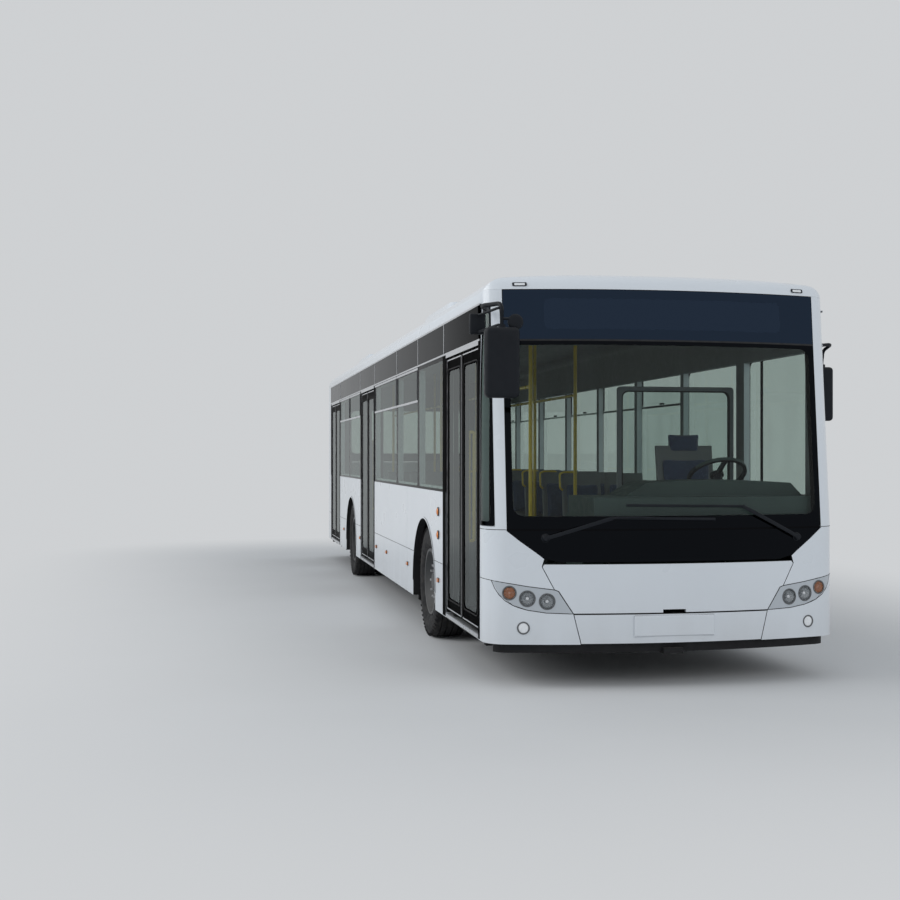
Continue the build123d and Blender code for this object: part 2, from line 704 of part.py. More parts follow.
tower_x = engine_x[1] + 70
tower_y = (engine_y[0] - 100, inner_y - seat)
tower_top = engine_z[1] + 150
tower_wall = 20
with BuildPart() as housings:
    for axle_x, reach in house_floor:
        for side in (-1, 1):
            y_out = sorted((side * (house_inner_y - house_wall), side * (inner_y - seat)))
            y_in = sorted((side * house_inner_y, side * half_width))
            block((axle_x - reach - house_wall, axle_x + reach + house_wall), y_out,
                  (floor_bottom, house_top_z + house_wall))
            block((axle_x - reach, axle_x + reach), y_in, (0, house_top_z), mode=Mode.SUBTRACT)
    # Engine tower
    block((rear_beam_x + seat, tower_x), tower_y, (floor_top + seat, tower_top))
    block((rear_x - 200, tower_x - tower_wall), (tower_y[0] + tower_wall, tower_y[1] - tower_wall),
          (floor_top, tower_top - tower_wall), mode=Mode.SUBTRACT)
    # Covers of the door drives
    with BuildPart(mode=Mode.PRIVATE) as covers:
        for centre in door_centres:
            block((centre - portal_half - 40, centre + portal_half + 40), (-inner_y, -inner_y + 190),
                  (column_top_z + 8, cove_z - 20))
        add(room_hull, mode=Mode.INTERSECT)
    add(covers.part)
housings.part.label = "housings"

with BuildPart() as engine:
    block(engine_x, engine_y, engine_z)
engine.part.label = "engine"

# Front axle beam with its kingpins, and rear axle with its drop housings
axle_z = (140, 208)
lug_z = [(350, 385), (573, 608)]
knuckle_z = (391, 567)
upright_y = (780, 835)
with BuildPart() as front_axle:
    block((front_axle_x - 50, front_axle_x + 50), (-upright_y[1], upright_y[1]), axle_z)
    for side in (-1, 1):
        block((front_axle_x - 45, front_axle_x + 45), (side * upright_y[0], side * upright_y[1]),
              (axle_z[0], lug_z[1][1]))
        block((front_axle_x - 60, front_axle_x + 60), (side * rail_y - 40, side * rail_y + 40),
              (axle_z[1] - 1, rail_bottom - seat))
        for z0, z1 in lug_z:
            block((front_axle_x - 35, front_axle_x + 35), (side * (upright_y[1] - 10), side * kingpin_y), (z0, z1))
            rod((front_axle_x, side * kingpin_y, z0), (front_axle_x, side * kingpin_y, z1), 35)
        rod((front_axle_x, side * kingpin_y, lug_z[0][0]), (front_axle_x, side * kingpin_y, lug_z[1][1]),
            kingpin_radius)
front_axle.part.label = "front_axle"

stub_radius = 40
hub_inner = 1000
hub_end = 1165
for side, name in ((1, "knuckle_left"), (-1, "knuckle_right")):
    with BuildPart() as knuckle:
        rod((front_axle_x, side * kingpin_y, knuckle_z[0]), (front_axle_x, side * kingpin_y, knuckle_z[1]), 42)
        rod((front_axle_x, side * kingpin_y, tyre_radius), (front_axle_x, side * (hub_inner - 8), tyre_radius), 62)
        rod((front_axle_x, side * kingpin_y, tyre_radius), (front_axle_x, side * hub_end, tyre_radius), stub_radius)
        rod((front_axle_x, side * kingpin_y, 0), (front_axle_x, side * kingpin_y, 900),
            kingpin_radius + pin_gap, mode=Mode.SUBTRACT)
    knuckle.part.label = name
    export_step(knuckle.part, f"parts/{name}.step")

housing_y = (595, 650)
rear_stub_end = 1000
with BuildPart() as rear_axle:
    block((rear_axle_x - 60, rear_axle_x + 60), (-housing_y[1], housing_y[1]), axle_z)
    for side in (-1, 1):
        block((rear_axle_x - 110, rear_axle_x + 110), (side * housing_y[0], side * housing_y[1]), (axle_z[0], 600))
        block((rear_axle_x - 60, rear_axle_x + 60), (side * rail_y - 40, side * rail_y + 40),
              (axle_z[1] - 1, rail_bottom - seat))
        rod((rear_axle_x, side * housing_y[0], tyre_radius), (rear_axle_x, side * rear_stub_end, tyre_radius),
            stub_radius)
rear_axle.part.label = "rear_axle"

# Tyre section: distance out from its middle plane, radius
tyre_section = [(-bead_width / 2, bead_radius), (-tyre_width / 2, shoulder_radius), (-tread_width / 2, tyre_radius),
                (tread_width / 2, tyre_radius), (tyre_width / 2, shoulder_radius), (bead_width / 2, bead_radius)]
inner_section = [(-tyre_width / 2, bead_radius), (-tyre_width / 2 + 12, tyre_radius),
                 (tyre_width / 2 - 12, tyre_radius), (tyre_width / 2, bead_radius)]
rim_radius = bead_radius - seat
rim_barrel = 264
hub_radius = 118
# Rim sections: distance out from the bus's middle, radius
front_rim = [(982, rim_radius), (982, rim_barrel), (1130, rim_barrel), (1130, hub_radius), (hub_inner, hub_radius),
             (hub_inner, stub_radius + pin_gap), (hub_end + 5, stub_radius + pin_gap), (hub_end + 5, 0), (1195, 0),
             (1195, 70), (1160, hub_radius), (1148, 240), (1218, rim_barrel), (1218, rim_radius)]
rear_rim = [(684, rim_radius), (684, rim_barrel), (945, rim_barrel), (945, hub_radius), (662, hub_radius),
            (662, stub_radius + pin_gap), (rear_stub_end + 5, stub_radius + pin_gap), (rear_stub_end + 5, 0),
            (1040, 0), (1040, 80), (1010, hub_radius), (969, 150), (969, 240), (1000, rim_barrel),
            (1230, rim_barrel), (1230, rim_radius)]


def turned(points, axle_x, side):
    """A section turned about a wheel's axle; points are distance out and radius."""
    with BuildSketch(Plane.YZ.offset(axle_x)) as face:
        with BuildLine():
            Polyline(*[(side * y, tyre_radius + radius) for y, radius in points], close=True)
        make_face()
    revolve(face.sketch, axis=Axis((axle_x, 0, tyre_radius), (0, 1, 0)), revolution_arc=360)


# node ending, axle, side, tyre middles, rim section, ring of holes
wheel_table = [
    ("front_left", front_axle_x, 1, [front_track_half], front_rim, (1100, 1250)),
    ("front_right", front_axle_x, -1, [front_track_half], front_rim, (1100, 1250)),
    ("rear_left", rear_axle_x, 1, [twin_outer, twin_outer - twin_spacing], rear_rim, (930, 1100)),
    ("rear_right", rear_axle_x, -1, [twin_outer, twin_outer - twin_spacing], rear_rim, (930, 1100)),
]
hand_hole_radius = 26
hand_hole_circle = 190
hand_hole_count = 8
for name, axle_x, side, middles, rim_section, hole_y in wheel_table:
    with BuildPart() as tyre:
        for middle in middles:
            section = inner_section if middle < kingpin_y + 50 else tyre_section
            turned([(middle + out, radius) for out, radius in section], axle_x, side)
    tyre.part.label = f"tyre_{name}"
    export_step(tyre.part, f"parts/tyre_{name}.step")
    with BuildPart() as rim:
        turned(rim_section, axle_x, side)
        for number in range(hand_hole_count):
            angle = 2 * math.pi * (number + 0.5) / hand_hole_count
            x = axle_x + hand_hole_circle * math.cos(angle)
            z = tyre_radius + hand_hole_circle * math.sin(angle)
            rod((x, side * hole_y[0], z), (x, side * hole_y[1], z), hand_hole_radius, mode=Mode.SUBTRACT)
    rim.part.label = f"rim_{name}"
    export_step(rim.part, f"parts/rim_{name}.step")

# Door columns, leaves and their glass
leaf_length = portal_half - leaf_gap_jamb - leaf_gap_middle / 2
door_names = ["front", "middle", "rear"]
arm_levels = [(leaf_z[0] - arm_gap - arm_thick, leaf_z[0] - arm_gap),
              (leaf_z[1] + arm_gap, leaf_z[1] + arm_gap + arm_thick)]
for centre, door in zip(door_centres, door_names):
    for way, place in ((-1, "leading"), (1, "trailing")):
        # Column stands beside the jamb; way points from it to the middle of the door
        column_x = centre - way * (portal_half + column_behind_jamb)
        column_y = -half_width + column_depth
        pivot = (column_x + way * pivot_reach, column_y - leaf_plane)
        leaf_start = column_x + way * (column_behind_jamb + leaf_gap_jamb)
        leaf_x = sorted((leaf_start, leaf_start + way * leaf_length))
        leaf_y = (pivot[1] - leaf_thick / 2, pivot[1] + leaf_thick / 2)
        with BuildPart() as column:
            rod((column_x, column_y, floor_top + seat), (column_x, column_y, column_top_z), column_radius)
            for level in arm_levels:
                with BuildSketch(Plane.XY.offset(level[0])) as arm:
                    with BuildLine():
                        Line((column_x, column_y), pivot)
                    trace(line_width=2 * arm_radius)
                    with Locations(pivot, (column_x, column_y)):
                        Circle(arm_radius)
                extrude(arm.sketch, amount=level[1] - level[0])
            rod((*pivot, arm_levels[0][0]), (*pivot, leaf_z[0] + hinge_pin_length), hinge_pin_radius)
            rod((*pivot, leaf_z[1] - hinge_pin_length), (*pivot, arm_levels[1][1]), hinge_pin_radius)
        name = f"{door}_column_{place}"
        column.part.label = name
        export_step(column.part, f"parts/{name}.step")
        leaf_middle = ((leaf_x[0] + leaf_x[1]) / 2, (leaf_z[0] + leaf_z[1]) / 2)
        opening = (leaf_length - 2 * leaf_frame, leaf_z[1] - leaf_z[0] - 4 * leaf_frame)
        with BuildPart() as leaf:
            block(leaf_x, leaf_y, leaf_z)
            with BuildSketch(Plane.XZ.offset(-leaf_y[1] - 1)) as hole:
                with Locations(leaf_middle):
                    RectangleRounded(opening[0], opening[1], leaf_corner)
            extrude(hole.sketch, amount=leaf_thick + 2, mode=Mode.SUBTRACT)
            for z0, z1 in ((leaf_z[0] - 1, leaf_z[0] + hinge_pin_length + 2),
                           (leaf_z[1] - hinge_pin_length - 2, leaf_z[1] + 1)):
                rod((*pivot, z0), (*pivot, z1), hinge_pin_radius + pin_gap, mode=Mode.SUBTRACT)
        name = f"{door}_leaf_{place}"
        leaf.part.label = name
        export_step(leaf.part, f"parts/{name}.step")
        with BuildPart() as glass:
            with BuildSketch(Plane.XZ.offset(-leaf_y[0] - 3 - leaf_glass)) as sheet:
                with Locations(leaf_middle):
                    RectangleRounded(opening[0] - 2 * seat, opening[1] - 2 * seat, leaf_corner - seat)
            extrude(sheet.sketch, amount=leaf_glass)
        name = f"{door}_glass_{place}"
        glass.part.label = name
        export_step(glass.part, f"parts/{name}.step")

# Dashboard with steering column and wheel
dash_x = front_x - 800
dash_shelf_z = 1150
dash_top = 1290
dash_side = -540
cowl_y = (-250, inner_y - 130)
cowl_top = dash_top + 112
cowl_length = 420
driver_y = 640
wheel_centre = (dash_x - 20, driver_y, dash_top + 130)
with BuildPart() as dashboard:
    block((dash_x, front_x - 380), (dash_side, all_width[1]), (floor_top + seat, dash_shelf_z))
    block((dash_x + 60, front_x + 120), (dash_side, all_width[1]), (dash_shelf_z - 1, dash_top))
    # Cowl over the driver's instruments
    with BuildSketch(Plane.YZ.offset(dash_x + 60)) as cowl:
        with BuildLine():
            Line((cowl_y[0], dash_top - 1), (cowl_y[1], dash_top - 1))
            Line((cowl_y[1], dash_top - 1), (cowl_y[1] - 90, cowl_top - 20))
            ThreePointArc((cowl_y[1] - 90, cowl_top - 20), ((cowl_y[0] + cowl_y[1]) / 2, cowl_top),
                          (cowl_y[0] + 160, cowl_top - 20))
            Line((cowl_y[0] + 160, cowl_top - 20), (cowl_y[0], dash_top - 1))
        make_face()
    extrude(cowl.sketch, amount=cowl_length)
    add(room_hull, mode=Mode.INTERSECT)
    rod((dash_x + 250, driver_y, dash_shelf_z - 50), (wheel_centre[0] - 6, driver_y, wheel_centre[2] + 8), 34)
    with BuildSketch(Plane(origin=wheel_centre, z_dir=(-0.55, 0, 0.83))) as hoop:
        Circle(225)
        Circle(200, mode=Mode.SUBTRACT)
        Rectangle(420, 30)
        Circle(52)
    extrude(hoop.sketch, amount=26)
dashboard.part.label = "dashboard"

# Driver's place
platform_top = 640
cabin_side = 200
partition_x = front_axle_x + steer_house_half + house_wall + 250
partition_wall = 30
rail_top_z = body_height - 700
with BuildPart() as driver_cabin:
    block((partition_x + partition_wall, dash_x - 1), (cabin_side, inner_y - seat), (floor_top + seat, platform_top))
    block((partition_x, partition_x + partition_wall), (cabin_side, inner_y - seat), (floor_top + seat, rail_top_z))
driver_cabin.part.label = "driver_cabin"

# Seats: the driver's, then rows of pairs by place and side
row_room = (rear_axle_x + 940, front_axle_x - 1060)
least_pitch = 700
row_count = int((row_room[1] - row_room[0]) / least_pitch)
row_pitch = (row_room[1] - row_room[0]) / row_count
row_x = [row_room[1] - row_pitch * number for number in range(row_count + 1)]
seat_rows = [(x, 1) for x in row_x] + [(rear_axle_x - 1110, 1)]
seat_rows += [(x, -1) for x in row_x if x > middle_marks[0] + 640]
seat_span = (340, inner_y - 25)
seat_x = dash_x - 700
shell_thick = 32
pad_thick = 40
seat_base_z = 745
seat_bend = 70
back_top_z = 1400
seat_gap = 40
# Where the pads start and end along the shell's seat and back
pad_shares = [(0.06, 0.72), (0.24, 0.86)]
pad_margin = 18


def seat_shell(x, y, floor_z, rise):
    """A bent seat shell with its pads; x is the middle of the seat, rise the seat's height over the floor."""
    base = floor_z + rise
    profile = [(x + 215, base + 12), (x - 195, base - 6), (x - 300, base + back_top_z - seat_base_z)]
    with BuildSketch(Plane.XZ.offset(-y[1])) as side_view:
        with BuildLine():
            FilletPolyline(*profile, radius=seat_bend)
        trace(line_width=shell_thick)
    extrude(side_view.sketch, amount=y[1] - y[0])
    for (x0, z0), (x1, z1), (first, last) in zip(profile, profile[1:], pad_shares):
        length = math.hypot(x1 - x0, z1 - z0)
        lift = (shell_thick + pad_thick) / 2 - 1
        dx, dz = lift * (z1 - z0) / length, lift * (x0 - x1) / length
        with BuildSketch(Plane.XZ.offset(-y[1] + pad_margin)) as side_view:
            with BuildLine():
                Line((x0 + (x1 - x0) * first + dx, z0 + (z1 - z0) * first + dz),
                     (x0 + (x1 - x0) * last + dx, z0 + (z1 - z0) * last + dz))
            trace(line_width=pad_thick)
        extrude(side_view.sketch, amount=y[1] - y[0] - 2 * pad_margin)


with BuildPart() as seats:
    block((seat_x + 120, seat_x + 380), (driver_y - 120, driver_y + 120), (platform_top + seat, 1000))
    seat_shell(seat_x + 270, (driver_y - 240, driver_y + 240), platform_top, 360)
    # Headrest
    block((seat_x - 70, seat_x + 10), (driver_y - 130, driver_y + 130), (platform_top + 960, platform_top + 1110))
    for x, side in seat_rows:
        middle = side * (seat_span[0] + seat_span[1]) / 2
        for y in (-1, 1):
            span = sorted((middle + y * seat_gap / 2, middle + y * (seat_span[1] - seat_span[0]) / 2))
            seat_shell(x, span, 0, seat_base_z)
        # Foot and cross bar
        block((x - 60, x + 60), (middle - 45, middle + 45), (floor_top + seat, seat_base_z - 18))
        block((x - 90, x + 90), (middle - 330, middle + 330), (seat_base_z - 46, seat_base_z - 8))
seats.part.label = "seats"

rail_radius = 17
aisle_right, aisle_left = -500, 300
stanchions = [(front_axle_x + 740, aisle_right), (front_axle_x - 710, aisle_left), (front_axle_x - 2260, aisle_left),
              (door_centres[1] + 660, aisle_right), (door_centres[1] - 660, aisle_right),
              (rear_axle_x + 540, aisle_left), (door_centres[2] + 670, aisle_right), (tower_x + 50, tower_y[0] - 70)]
with BuildPart() as grab_rails:
    for x, y in stanchions:
        rod((x, y, floor_top + seat), (x, y, body_height), rail_radius)
    for y in (aisle_right, aisle_left):
        reach = [x for x, place in stanchions if place == y]
        rod((min(reach), y, rail_top_z), (max(reach), y, rail_top_z), rail_radius - 3)
    add(room_hull, mode=Mode.INTERSECT)
grab_rails.part.label = "grab_rails"

# Mirrors: a bent tube from the right front corner carries the kerb head and two small ones
kerb_x = front_x + mirror_reach - 50
kerb_head = (-half_width + 25, body_height - 670)
kerb_top_z = body_height - 285
kerb_tube = 15
small_tube = 9
square_mirror = (front_x - 80, -half_width - 80, body_height - 395)
round_mirror = (kerb_x + 5, kerb_head[0] + 92, body_height - 405)
# The driver's head hangs beside the left front corner
driver_head = (front_x - 580, half_width + 95, body_height - 815)
driver_root = (front_x - 400, half_width - 70, body_height - 475)


def bent_tube(points, radius, bend):
    """A round tube along a run of points with rounded corners."""
    with BuildPart(mode=Mode.PRIVATE) as tube:
        with BuildLine() as route:
            FilletPolyline(*points, radius=bend)
        with BuildSketch(Plane(origin=route.line @ 0, z_dir=route.line % 0)):
            Circle(radius)
        sweep(path=route.line)
    add(tube.part)


def mirror_head(centre, size, corner):
    """A mirror housing standing across the bus: depth, width, height."""
    with BuildSketch(Plane.YZ.offset(centre[0] - size[0] / 2)) as head:
        with Locations((centre[1], centre[2])):
            RectangleRounded(size[1], size[2], corner)
    extrude(head.sketch, amount=size[0])


with BuildPart() as mirrors:
    top = (kerb_x, kerb_head[0], kerb_top_z)
    bent_tube([(front_x - 330, -half_width + 55, kerb_top_z), (front_x - 60, -half_width - 55, kerb_top_z + 10), top,
               (kerb_x, kerb_head[0], kerb_head[1] + 200)], kerb_tube, 50)
    mirror_head((kerb_x, *kerb_head), (100, 230, 460), 60)
    mirror_head(square_mirror, (40, 110, 140), 20)
    for rise in (-55, 55):
        bent_tube([(square_mirror[0], square_mirror[1], square_mirror[2] + rise),
                   (kerb_x, kerb_head[0] - 20, square_mirror[2] + rise + 25),
                   (kerb_x, kerb_head[0] + 4, square_mirror[2] + rise + 20)], small_tube, 12)
    with BuildSketch(Plane.YZ.offset(round_mirror[0] - 12)) as head:
        with Locations((round_mirror[1], round_mirror[2])):
            Circle(52)
    extrude(head.sketch, amount=24)
    rod((kerb_x, kerb_head[0], round_mirror[2] + 20), (round_mirror[0], round_mirror[1], round_mirror[2] + 20), small_tube)
    bent_tube([driver_root, (driver_root[0] - 60, driver_head[1] + 15, driver_root[2] + 20),
               (driver_head[0], driver_head[1], driver_root[2] - 20),
               (driver_head[0], driver_head[1], driver_head[2] + 180)], 12, 45)
    mirror_head(driver_head, (80, 150, 400), 50)
    add(hull(-seat), mode=Mode.SUBTRACT)
mirrors.part.label = "mirrors"

# Wipers, each an arm and a blade lying just ahead of the glass
wiper_lines = [[(-883, 1020), (-436, 1155), (291, 1142)], [(932, 1010), (499, 1228), (-338, 1240)]]
with BuildPart() as wipers:
    for points in wiper_lines:
        with BuildPart(mode=Mode.PRIVATE) as sweep_bar:
            with BuildSketch(Plane.YZ.offset(front_cut[0])) as bar:
                with BuildLine():
                    Polyline(*points)
                trace(line_width=18)
            extrude(bar.sketch, amount=front_cut[1] - front_cut[0])
            add(shell(hull(-26), hull(-8)), mode=Mode.INTERSECT)
        add(sweep_bar.part)
        with BuildPart(mode=Mode.PRIVATE) as foot:
            rod((front_cut[0], *points[0]), (front_cut[1], *points[0]), 22)
            add(wiper_shell, mode=Mode.INTERSECT)
        add(foot.part)
wipers.part.label = "wipers"

# Roof hatches follow the crown; two units with sloping sides hold the heaters and coolers
unit_height = 150
unit_inset = 110
# Place, half length, half width
hatches = [(front_axle_x + 1000, 300, 350), (middle_x - 960, 450, 400)]
units = [(front_axle_x - 1260, 760, 1030), (rear_axle_x - 1460, 650, 1030)]
with BuildPart() as roof_unit:
    for x, half_x, half_y in hatches:
        with BuildPart(mode=Mode.PRIVATE) as lid:
            add(roof_fitting_shell)
            block((x - half_x, x + half_x), (-half_y, half_y), (body_height - 200, body_height + 200),
                  mode=Mode.INTERSECT)
        add(lid.part)
    for x, half_x, half_y in units:
        with BuildPart(mode=Mode.PRIVATE) as unit:
            with BuildSketch(Plane.XY.offset(body_height - crown_drop)):
                with Locations((x, 0)):
                    RectangleRounded(2 * half_x, 2 * half_y, 140)
            with BuildSketch(Plane.XY.offset(body_height + unit_height)):
                with Locations((x, 0)):
                    RectangleRounded(2 * (half_x - unit_inset), 2 * (half_y - unit_inset), 60)
            loft()
            add(hull(-seat), mode=Mode.SUBTRACT)
        add(unit.part)
roof_unit.part.label = "roof_unit"

# Marker lamps on the cap and along the sides
side_marker_x = [front_axle_x + 740, front_axle_x - 930, front_axle_x - 2410, door_centres[1] + 850,
                 door_centres[1] - 750, rear_axle_x - 910]
side_marker_z = (545, 575)
round_marker_z = (930, 1120)
cap_marker_y = half_width - 256
cap_marker_z = mask_top_z + 35
with BuildPart() as marker_lamps:
    for y in (-cap_marker_y, cap_marker_y):
        with BuildPart(mode=Mode.PRIVATE) as lamp:
            add(trim_shell)
            block(front_cut, (y - 48, y + 48), (cap_marker_z - 13, cap_marker_z + 13), mode=Mode.INTERSECT)
        add(lamp.part)
    for side in (-1, 1):
        for x in side_marker_x:
            y = sorted((side * (half_width + seat), side * (half_width + 8)))
            block((x - 35, x + 35), y, side_marker_z)
        for height in round_marker_z:
            rod((side_marker_x[0], y[0], height), (side_marker_x[0], y[1], height), 32)
marker_lamps.part.label = "marker_lamps"

for piece in (rear_wall, engine_flap, rear_bumper, tail_lamps, roof, front_cap, front_frame, windscreen,
              scuttle_panel, front_corners, headlamps, front_bumper, front_flap, side_windows, window_band,
              underframe, floor, housings, engine, front_axle, rear_axle, dashboard, driver_cabin, seats,
              grab_rails, mirrors, wipers, roof_unit, marker_lamps):
    export_step(piece.part, f"parts/{piece.part.label}.step")
for piece in (right_wall, left_wall):
    export_step(piece, f"parts/{piece.label}.step")
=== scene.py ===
import math

import bmesh
import bpy
from bpy.props import FloatProperty, FloatVectorProperty, PointerProperty
from mathutils import Matrix, Vector


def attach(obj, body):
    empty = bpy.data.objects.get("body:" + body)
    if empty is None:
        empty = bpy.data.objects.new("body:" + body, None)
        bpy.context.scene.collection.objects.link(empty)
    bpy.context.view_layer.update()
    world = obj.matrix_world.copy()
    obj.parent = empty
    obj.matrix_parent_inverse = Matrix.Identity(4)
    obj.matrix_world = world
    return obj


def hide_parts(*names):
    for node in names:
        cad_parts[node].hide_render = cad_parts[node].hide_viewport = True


bl_info = {
    "name": "City Bus Pieces",
    "version": (1, 0, 0),
    "blender": (4, 5, 0),
    "location": "View3D > Sidebar > City Bus",
    "description": "Panels, glazing, lamps, wheels and interior of a low-floor city bus",
    "category": "Object",
}

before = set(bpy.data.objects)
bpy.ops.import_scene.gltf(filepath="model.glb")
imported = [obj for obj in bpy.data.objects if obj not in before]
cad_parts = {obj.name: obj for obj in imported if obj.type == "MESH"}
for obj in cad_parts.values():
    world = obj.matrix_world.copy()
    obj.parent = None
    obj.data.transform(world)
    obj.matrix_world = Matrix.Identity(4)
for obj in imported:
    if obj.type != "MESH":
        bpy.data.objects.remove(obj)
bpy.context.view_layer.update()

# Places shared by the pieces, in metres: +X forward, +Y to the vehicle's left, Z up
REAR, HALF = -6.120, 1.275
FRONT_AXLE, REAR_AXLE = 3.110, -2.790
TYRE_RADIUS, TYRE_WIDTH = 0.479, 0.276
HUB_Z = TYRE_RADIUS
DOORS = {"front": 4.820, "middle": -1.000, "rear": -4.950}
# Heights: floor; foot and head of the side panes and head of the band above them; the black front
FLOOR = 0.335
BELT, PANE_TOP, BAND_TOP = 1.286, 2.380, 2.628
FASCIA, MASK_TOP, MASK_HALF = 1.075, 2.720, 1.140
# Joints between the side panes, and the panes' ends
MARKS_LEFT = [4.104, 2.800, 1.470, 0.140, -1.190, -2.520, -3.850, -4.600]
PANES_RIGHT = [(2.800, 4.104), (1.470, 2.800), (-0.284, 1.470), (-4.234, -1.716)]
PANES_LEFT = [(low, high) for high, low in zip(MARKS_LEFT, MARKS_LEFT[1:])]
BAND_ENDS = (-5.696, 5.491)

# Plan of the front: a wide bow and two corner arcs; then how far it leans back by height
BOW_R, BOW_X, CORNER_R, CORNER_Y = 4.550, 1.330, 0.180, 1.095
CORNER_X = BOW_X + math.sqrt((BOW_R - CORNER_R) ** 2 - CORNER_Y ** 2)
LEAN = [(0.0, 0.0), (1.1, 0.0), (2.72, 0.150), (2.765, 0.166), (2.795, 0.192), (2.818, 0.240), (2.838, 0.320),
        (2.9, 0.800)]

# Depths from the skin: both faces of a pane in the front and in a side, the bead that fills a joint
FRONT_PANE, SIDE_PANE = (-0.001, -0.007), (-0.002, -0.008)
SEAM_DEPTH, SEAM_RADIUS = -0.0014, 0.0028


def lean(z):
    """How far the front stands back at that height."""
    for (z0, back0), (z1, back1) in zip(LEAN, LEAN[1:]):
        if z <= z1:
            return back0 + (back1 - back0) * (z - z0) / (z1 - z0)
    return LEAN[-1][1]


def bends(low, high):
    """The heights inside a span where the lean changes."""
    return [z for z, _ in LEAN if low < z < high]


def on_front(y, z, out=0.0):
    """A point of the front, out from its skin."""
    if abs(y) <= MASK_HALF:
        reach = BOW_X + math.sqrt((BOW_R + out) ** 2 - y * y)
    else:
        reach = CORNER_X + math.sqrt(max((CORNER_R + out) ** 2 - (abs(y) - CORNER_Y) ** 2, 0.0))
    return Vector((reach - lean(z), y, z))


def front_way(y, z):
    """The direction that the front faces at that point."""
    step = 0.01
    across = on_front(y + step, z) - on_front(y - step, z)
    up = on_front(y, z + step) - on_front(y, z - step)
    return across.cross(up).normalized()


def on_side(side):
    """A placing on one side wall: distance forward, height, out from the skin."""
    return lambda x, z, out: Vector((x, side * (HALF + out), z))


def on_rear(y, z, out):
    """A point of the rear, out from its skin."""
    return Vector((REAR - out, y, z))


def about(middle, half):
    """The limits on both sides of a middle."""
    return middle - half, middle + half


def inset(span, margin):
    """A pair of limits drawn in by a margin."""
    return span[0] + margin, span[1] - margin


def between(first, second, share):
    """The place a share of the way from one to the other."""
    return [a + (b - a) * share for a, b in zip(first, second)]


# Forms are lists of points and faces


def fill(loops, cuts=((), ())):
    """A flat net on a closed run of points with holes, cut along lines of each direction."""
    net = bmesh.new()
    edges = []
    for loop in loops:
        verts = [net.verts.new((u, v, 0.0)) for u, v in loop]
        edges += [net.edges.new(pair) for pair in zip(verts, verts[1:] + verts[:1])]
    bmesh.ops.triangle_fill(net, edges=edges, use_beauty=True)
    for axis, marks in enumerate(cuts):
        way = Vector((1 - axis, axis, 0))
        for mark in marks:
            parts = net.verts[:] + net.edges[:] + net.faces[:]
            bmesh.ops.bisect_plane(net, geom=parts, dist=1e-7, plane_co=way * mark, plane_no=way)
    bmesh.ops.recalc_face_normals(net, faces=net.faces[:])
    net.verts.index_update()
    points = [(vert.co.x, vert.co.y) for vert in net.verts]
    faces = [[vert.index for vert in face.verts] for face in net.faces]
    rim = []
    for face in net.faces:
        for loop in face.loops:
            if len(loop.edge.link_faces) == 1:
                rim.append((loop.vert.index, loop.link_loop_next.vert.index))
    net.free()
    return points, faces, rim


def plate(loops, place, front, back, cuts=((), ())):
    """A closed slab on a run of points and its holes, between two distances from the skin."""
    flat, faces, rim = fill(loops, cuts)
    count = len(flat)
    points = [place(u, v, front) for u, v in flat] + [place(u, v, back) for u, v in flat]
    solid = [list(face) for face in faces]
    solid += [[count + number for number in reversed(face)] for face in faces]
    solid += [[second, first, first + count, second + count] for first, second in rim]
    ring = faces[0]
    normal = (points[ring[1]] - points[ring[0]]).cross(points[ring[2]] - points[ring[0]])
    if normal.dot(points[ring[0]] - points[ring[0] + count]) < 0:
        solid = [list(reversed(face)) for face in solid]
    return points, solid


def rounded(u, v, radius, parts=5):
    """The run of points of a rectangle with round corners."""
    corners = [(u[1] - radius, v[1] - radius, 0), (u[0] + radius, v[1] - radius, 90),
               (u[0] + radius, v[0] + radius, 180), (u[1] - radius, v[0] + radius, 270)]
    run = []
    for centre_u, centre_v, start in corners:
        for part in range(parts + 1):
            angle = math.radians(start + 90 * part / parts)
            run.append((centre_u + radius * math.cos(angle), centre_v + radius * math.sin(angle)))
    return run


def circle(u, v, radius, count=24):
    """The run of points of a circle."""
    turns = [2 * math.pi * number / count for number in range(count)]
    return [(u + radius * math.cos(angle), v + radius * math.sin(angle)) for angle in turns]


def steps(low, high, pitch):
    """Evenly spaced marks inside a span, at most one pitch apart."""
    count = max(int(math.ceil((high - low) / pitch)), 1)
    return [low + (high - low) * number / count for number in range(1, count)]


def net_of(points, faces):
    """A mesh net of points and faces."""
    net = bmesh.new()
    verts = [net.verts.new(point) for point in points]
    for face in faces:
        net.faces.new([verts[number] for number in face])
    return net


def closed(points, faces):
    """The form with its doubles merged and its faces turned outwards."""
    net = net_of(points, faces)
    bmesh.ops.remove_doubles(net, verts=net.verts[:], dist=1e-6)
    bmesh.ops.dissolve_degenerate(net, edges=net.edges[:], dist=1e-7)
    bmesh.ops.recalc_face_normals(net, faces=net.faces[:])
    return from_net(net)


def from_net(net):
    """Points and faces of a mesh net, which is freed."""
    net.verts.index_update()
    form = [vert.co.copy() for vert in net.verts], [[vert.index for vert in face.verts] for face in net.faces]
    net.free()
    return form


def slab(x, y, z, edge=0.0, parts=2):
    """A box between pairs of limits with rounded edges."""
    net = bmesh.new()
    bmesh.ops.create_cube(net, size=1.0)
    size = Vector((abs(x[1] - x[0]), abs(y[1] - y[0]), abs(z[1] - z[0])))
    centre = Vector((x[0] + x[1], y[0] + y[1], z[0] + z[1])) / 2
    for vert in net.verts:
        vert.co = Vector(a * b for a, b in zip(vert.co, size)) + centre
    if edge:
        bmesh.ops.bevel(net, geom=net.edges[:], offset=edge, segments=parts, profile=0.5, affect="EDGES")
    return from_net(net)


def moved(form, matrix):
    """The form placed by a matrix."""
    points, faces = form
    if matrix.determinant() < 0:
        faces = [list(reversed(face)) for face in faces]
    return [matrix @ Vector(point) for point in points], faces


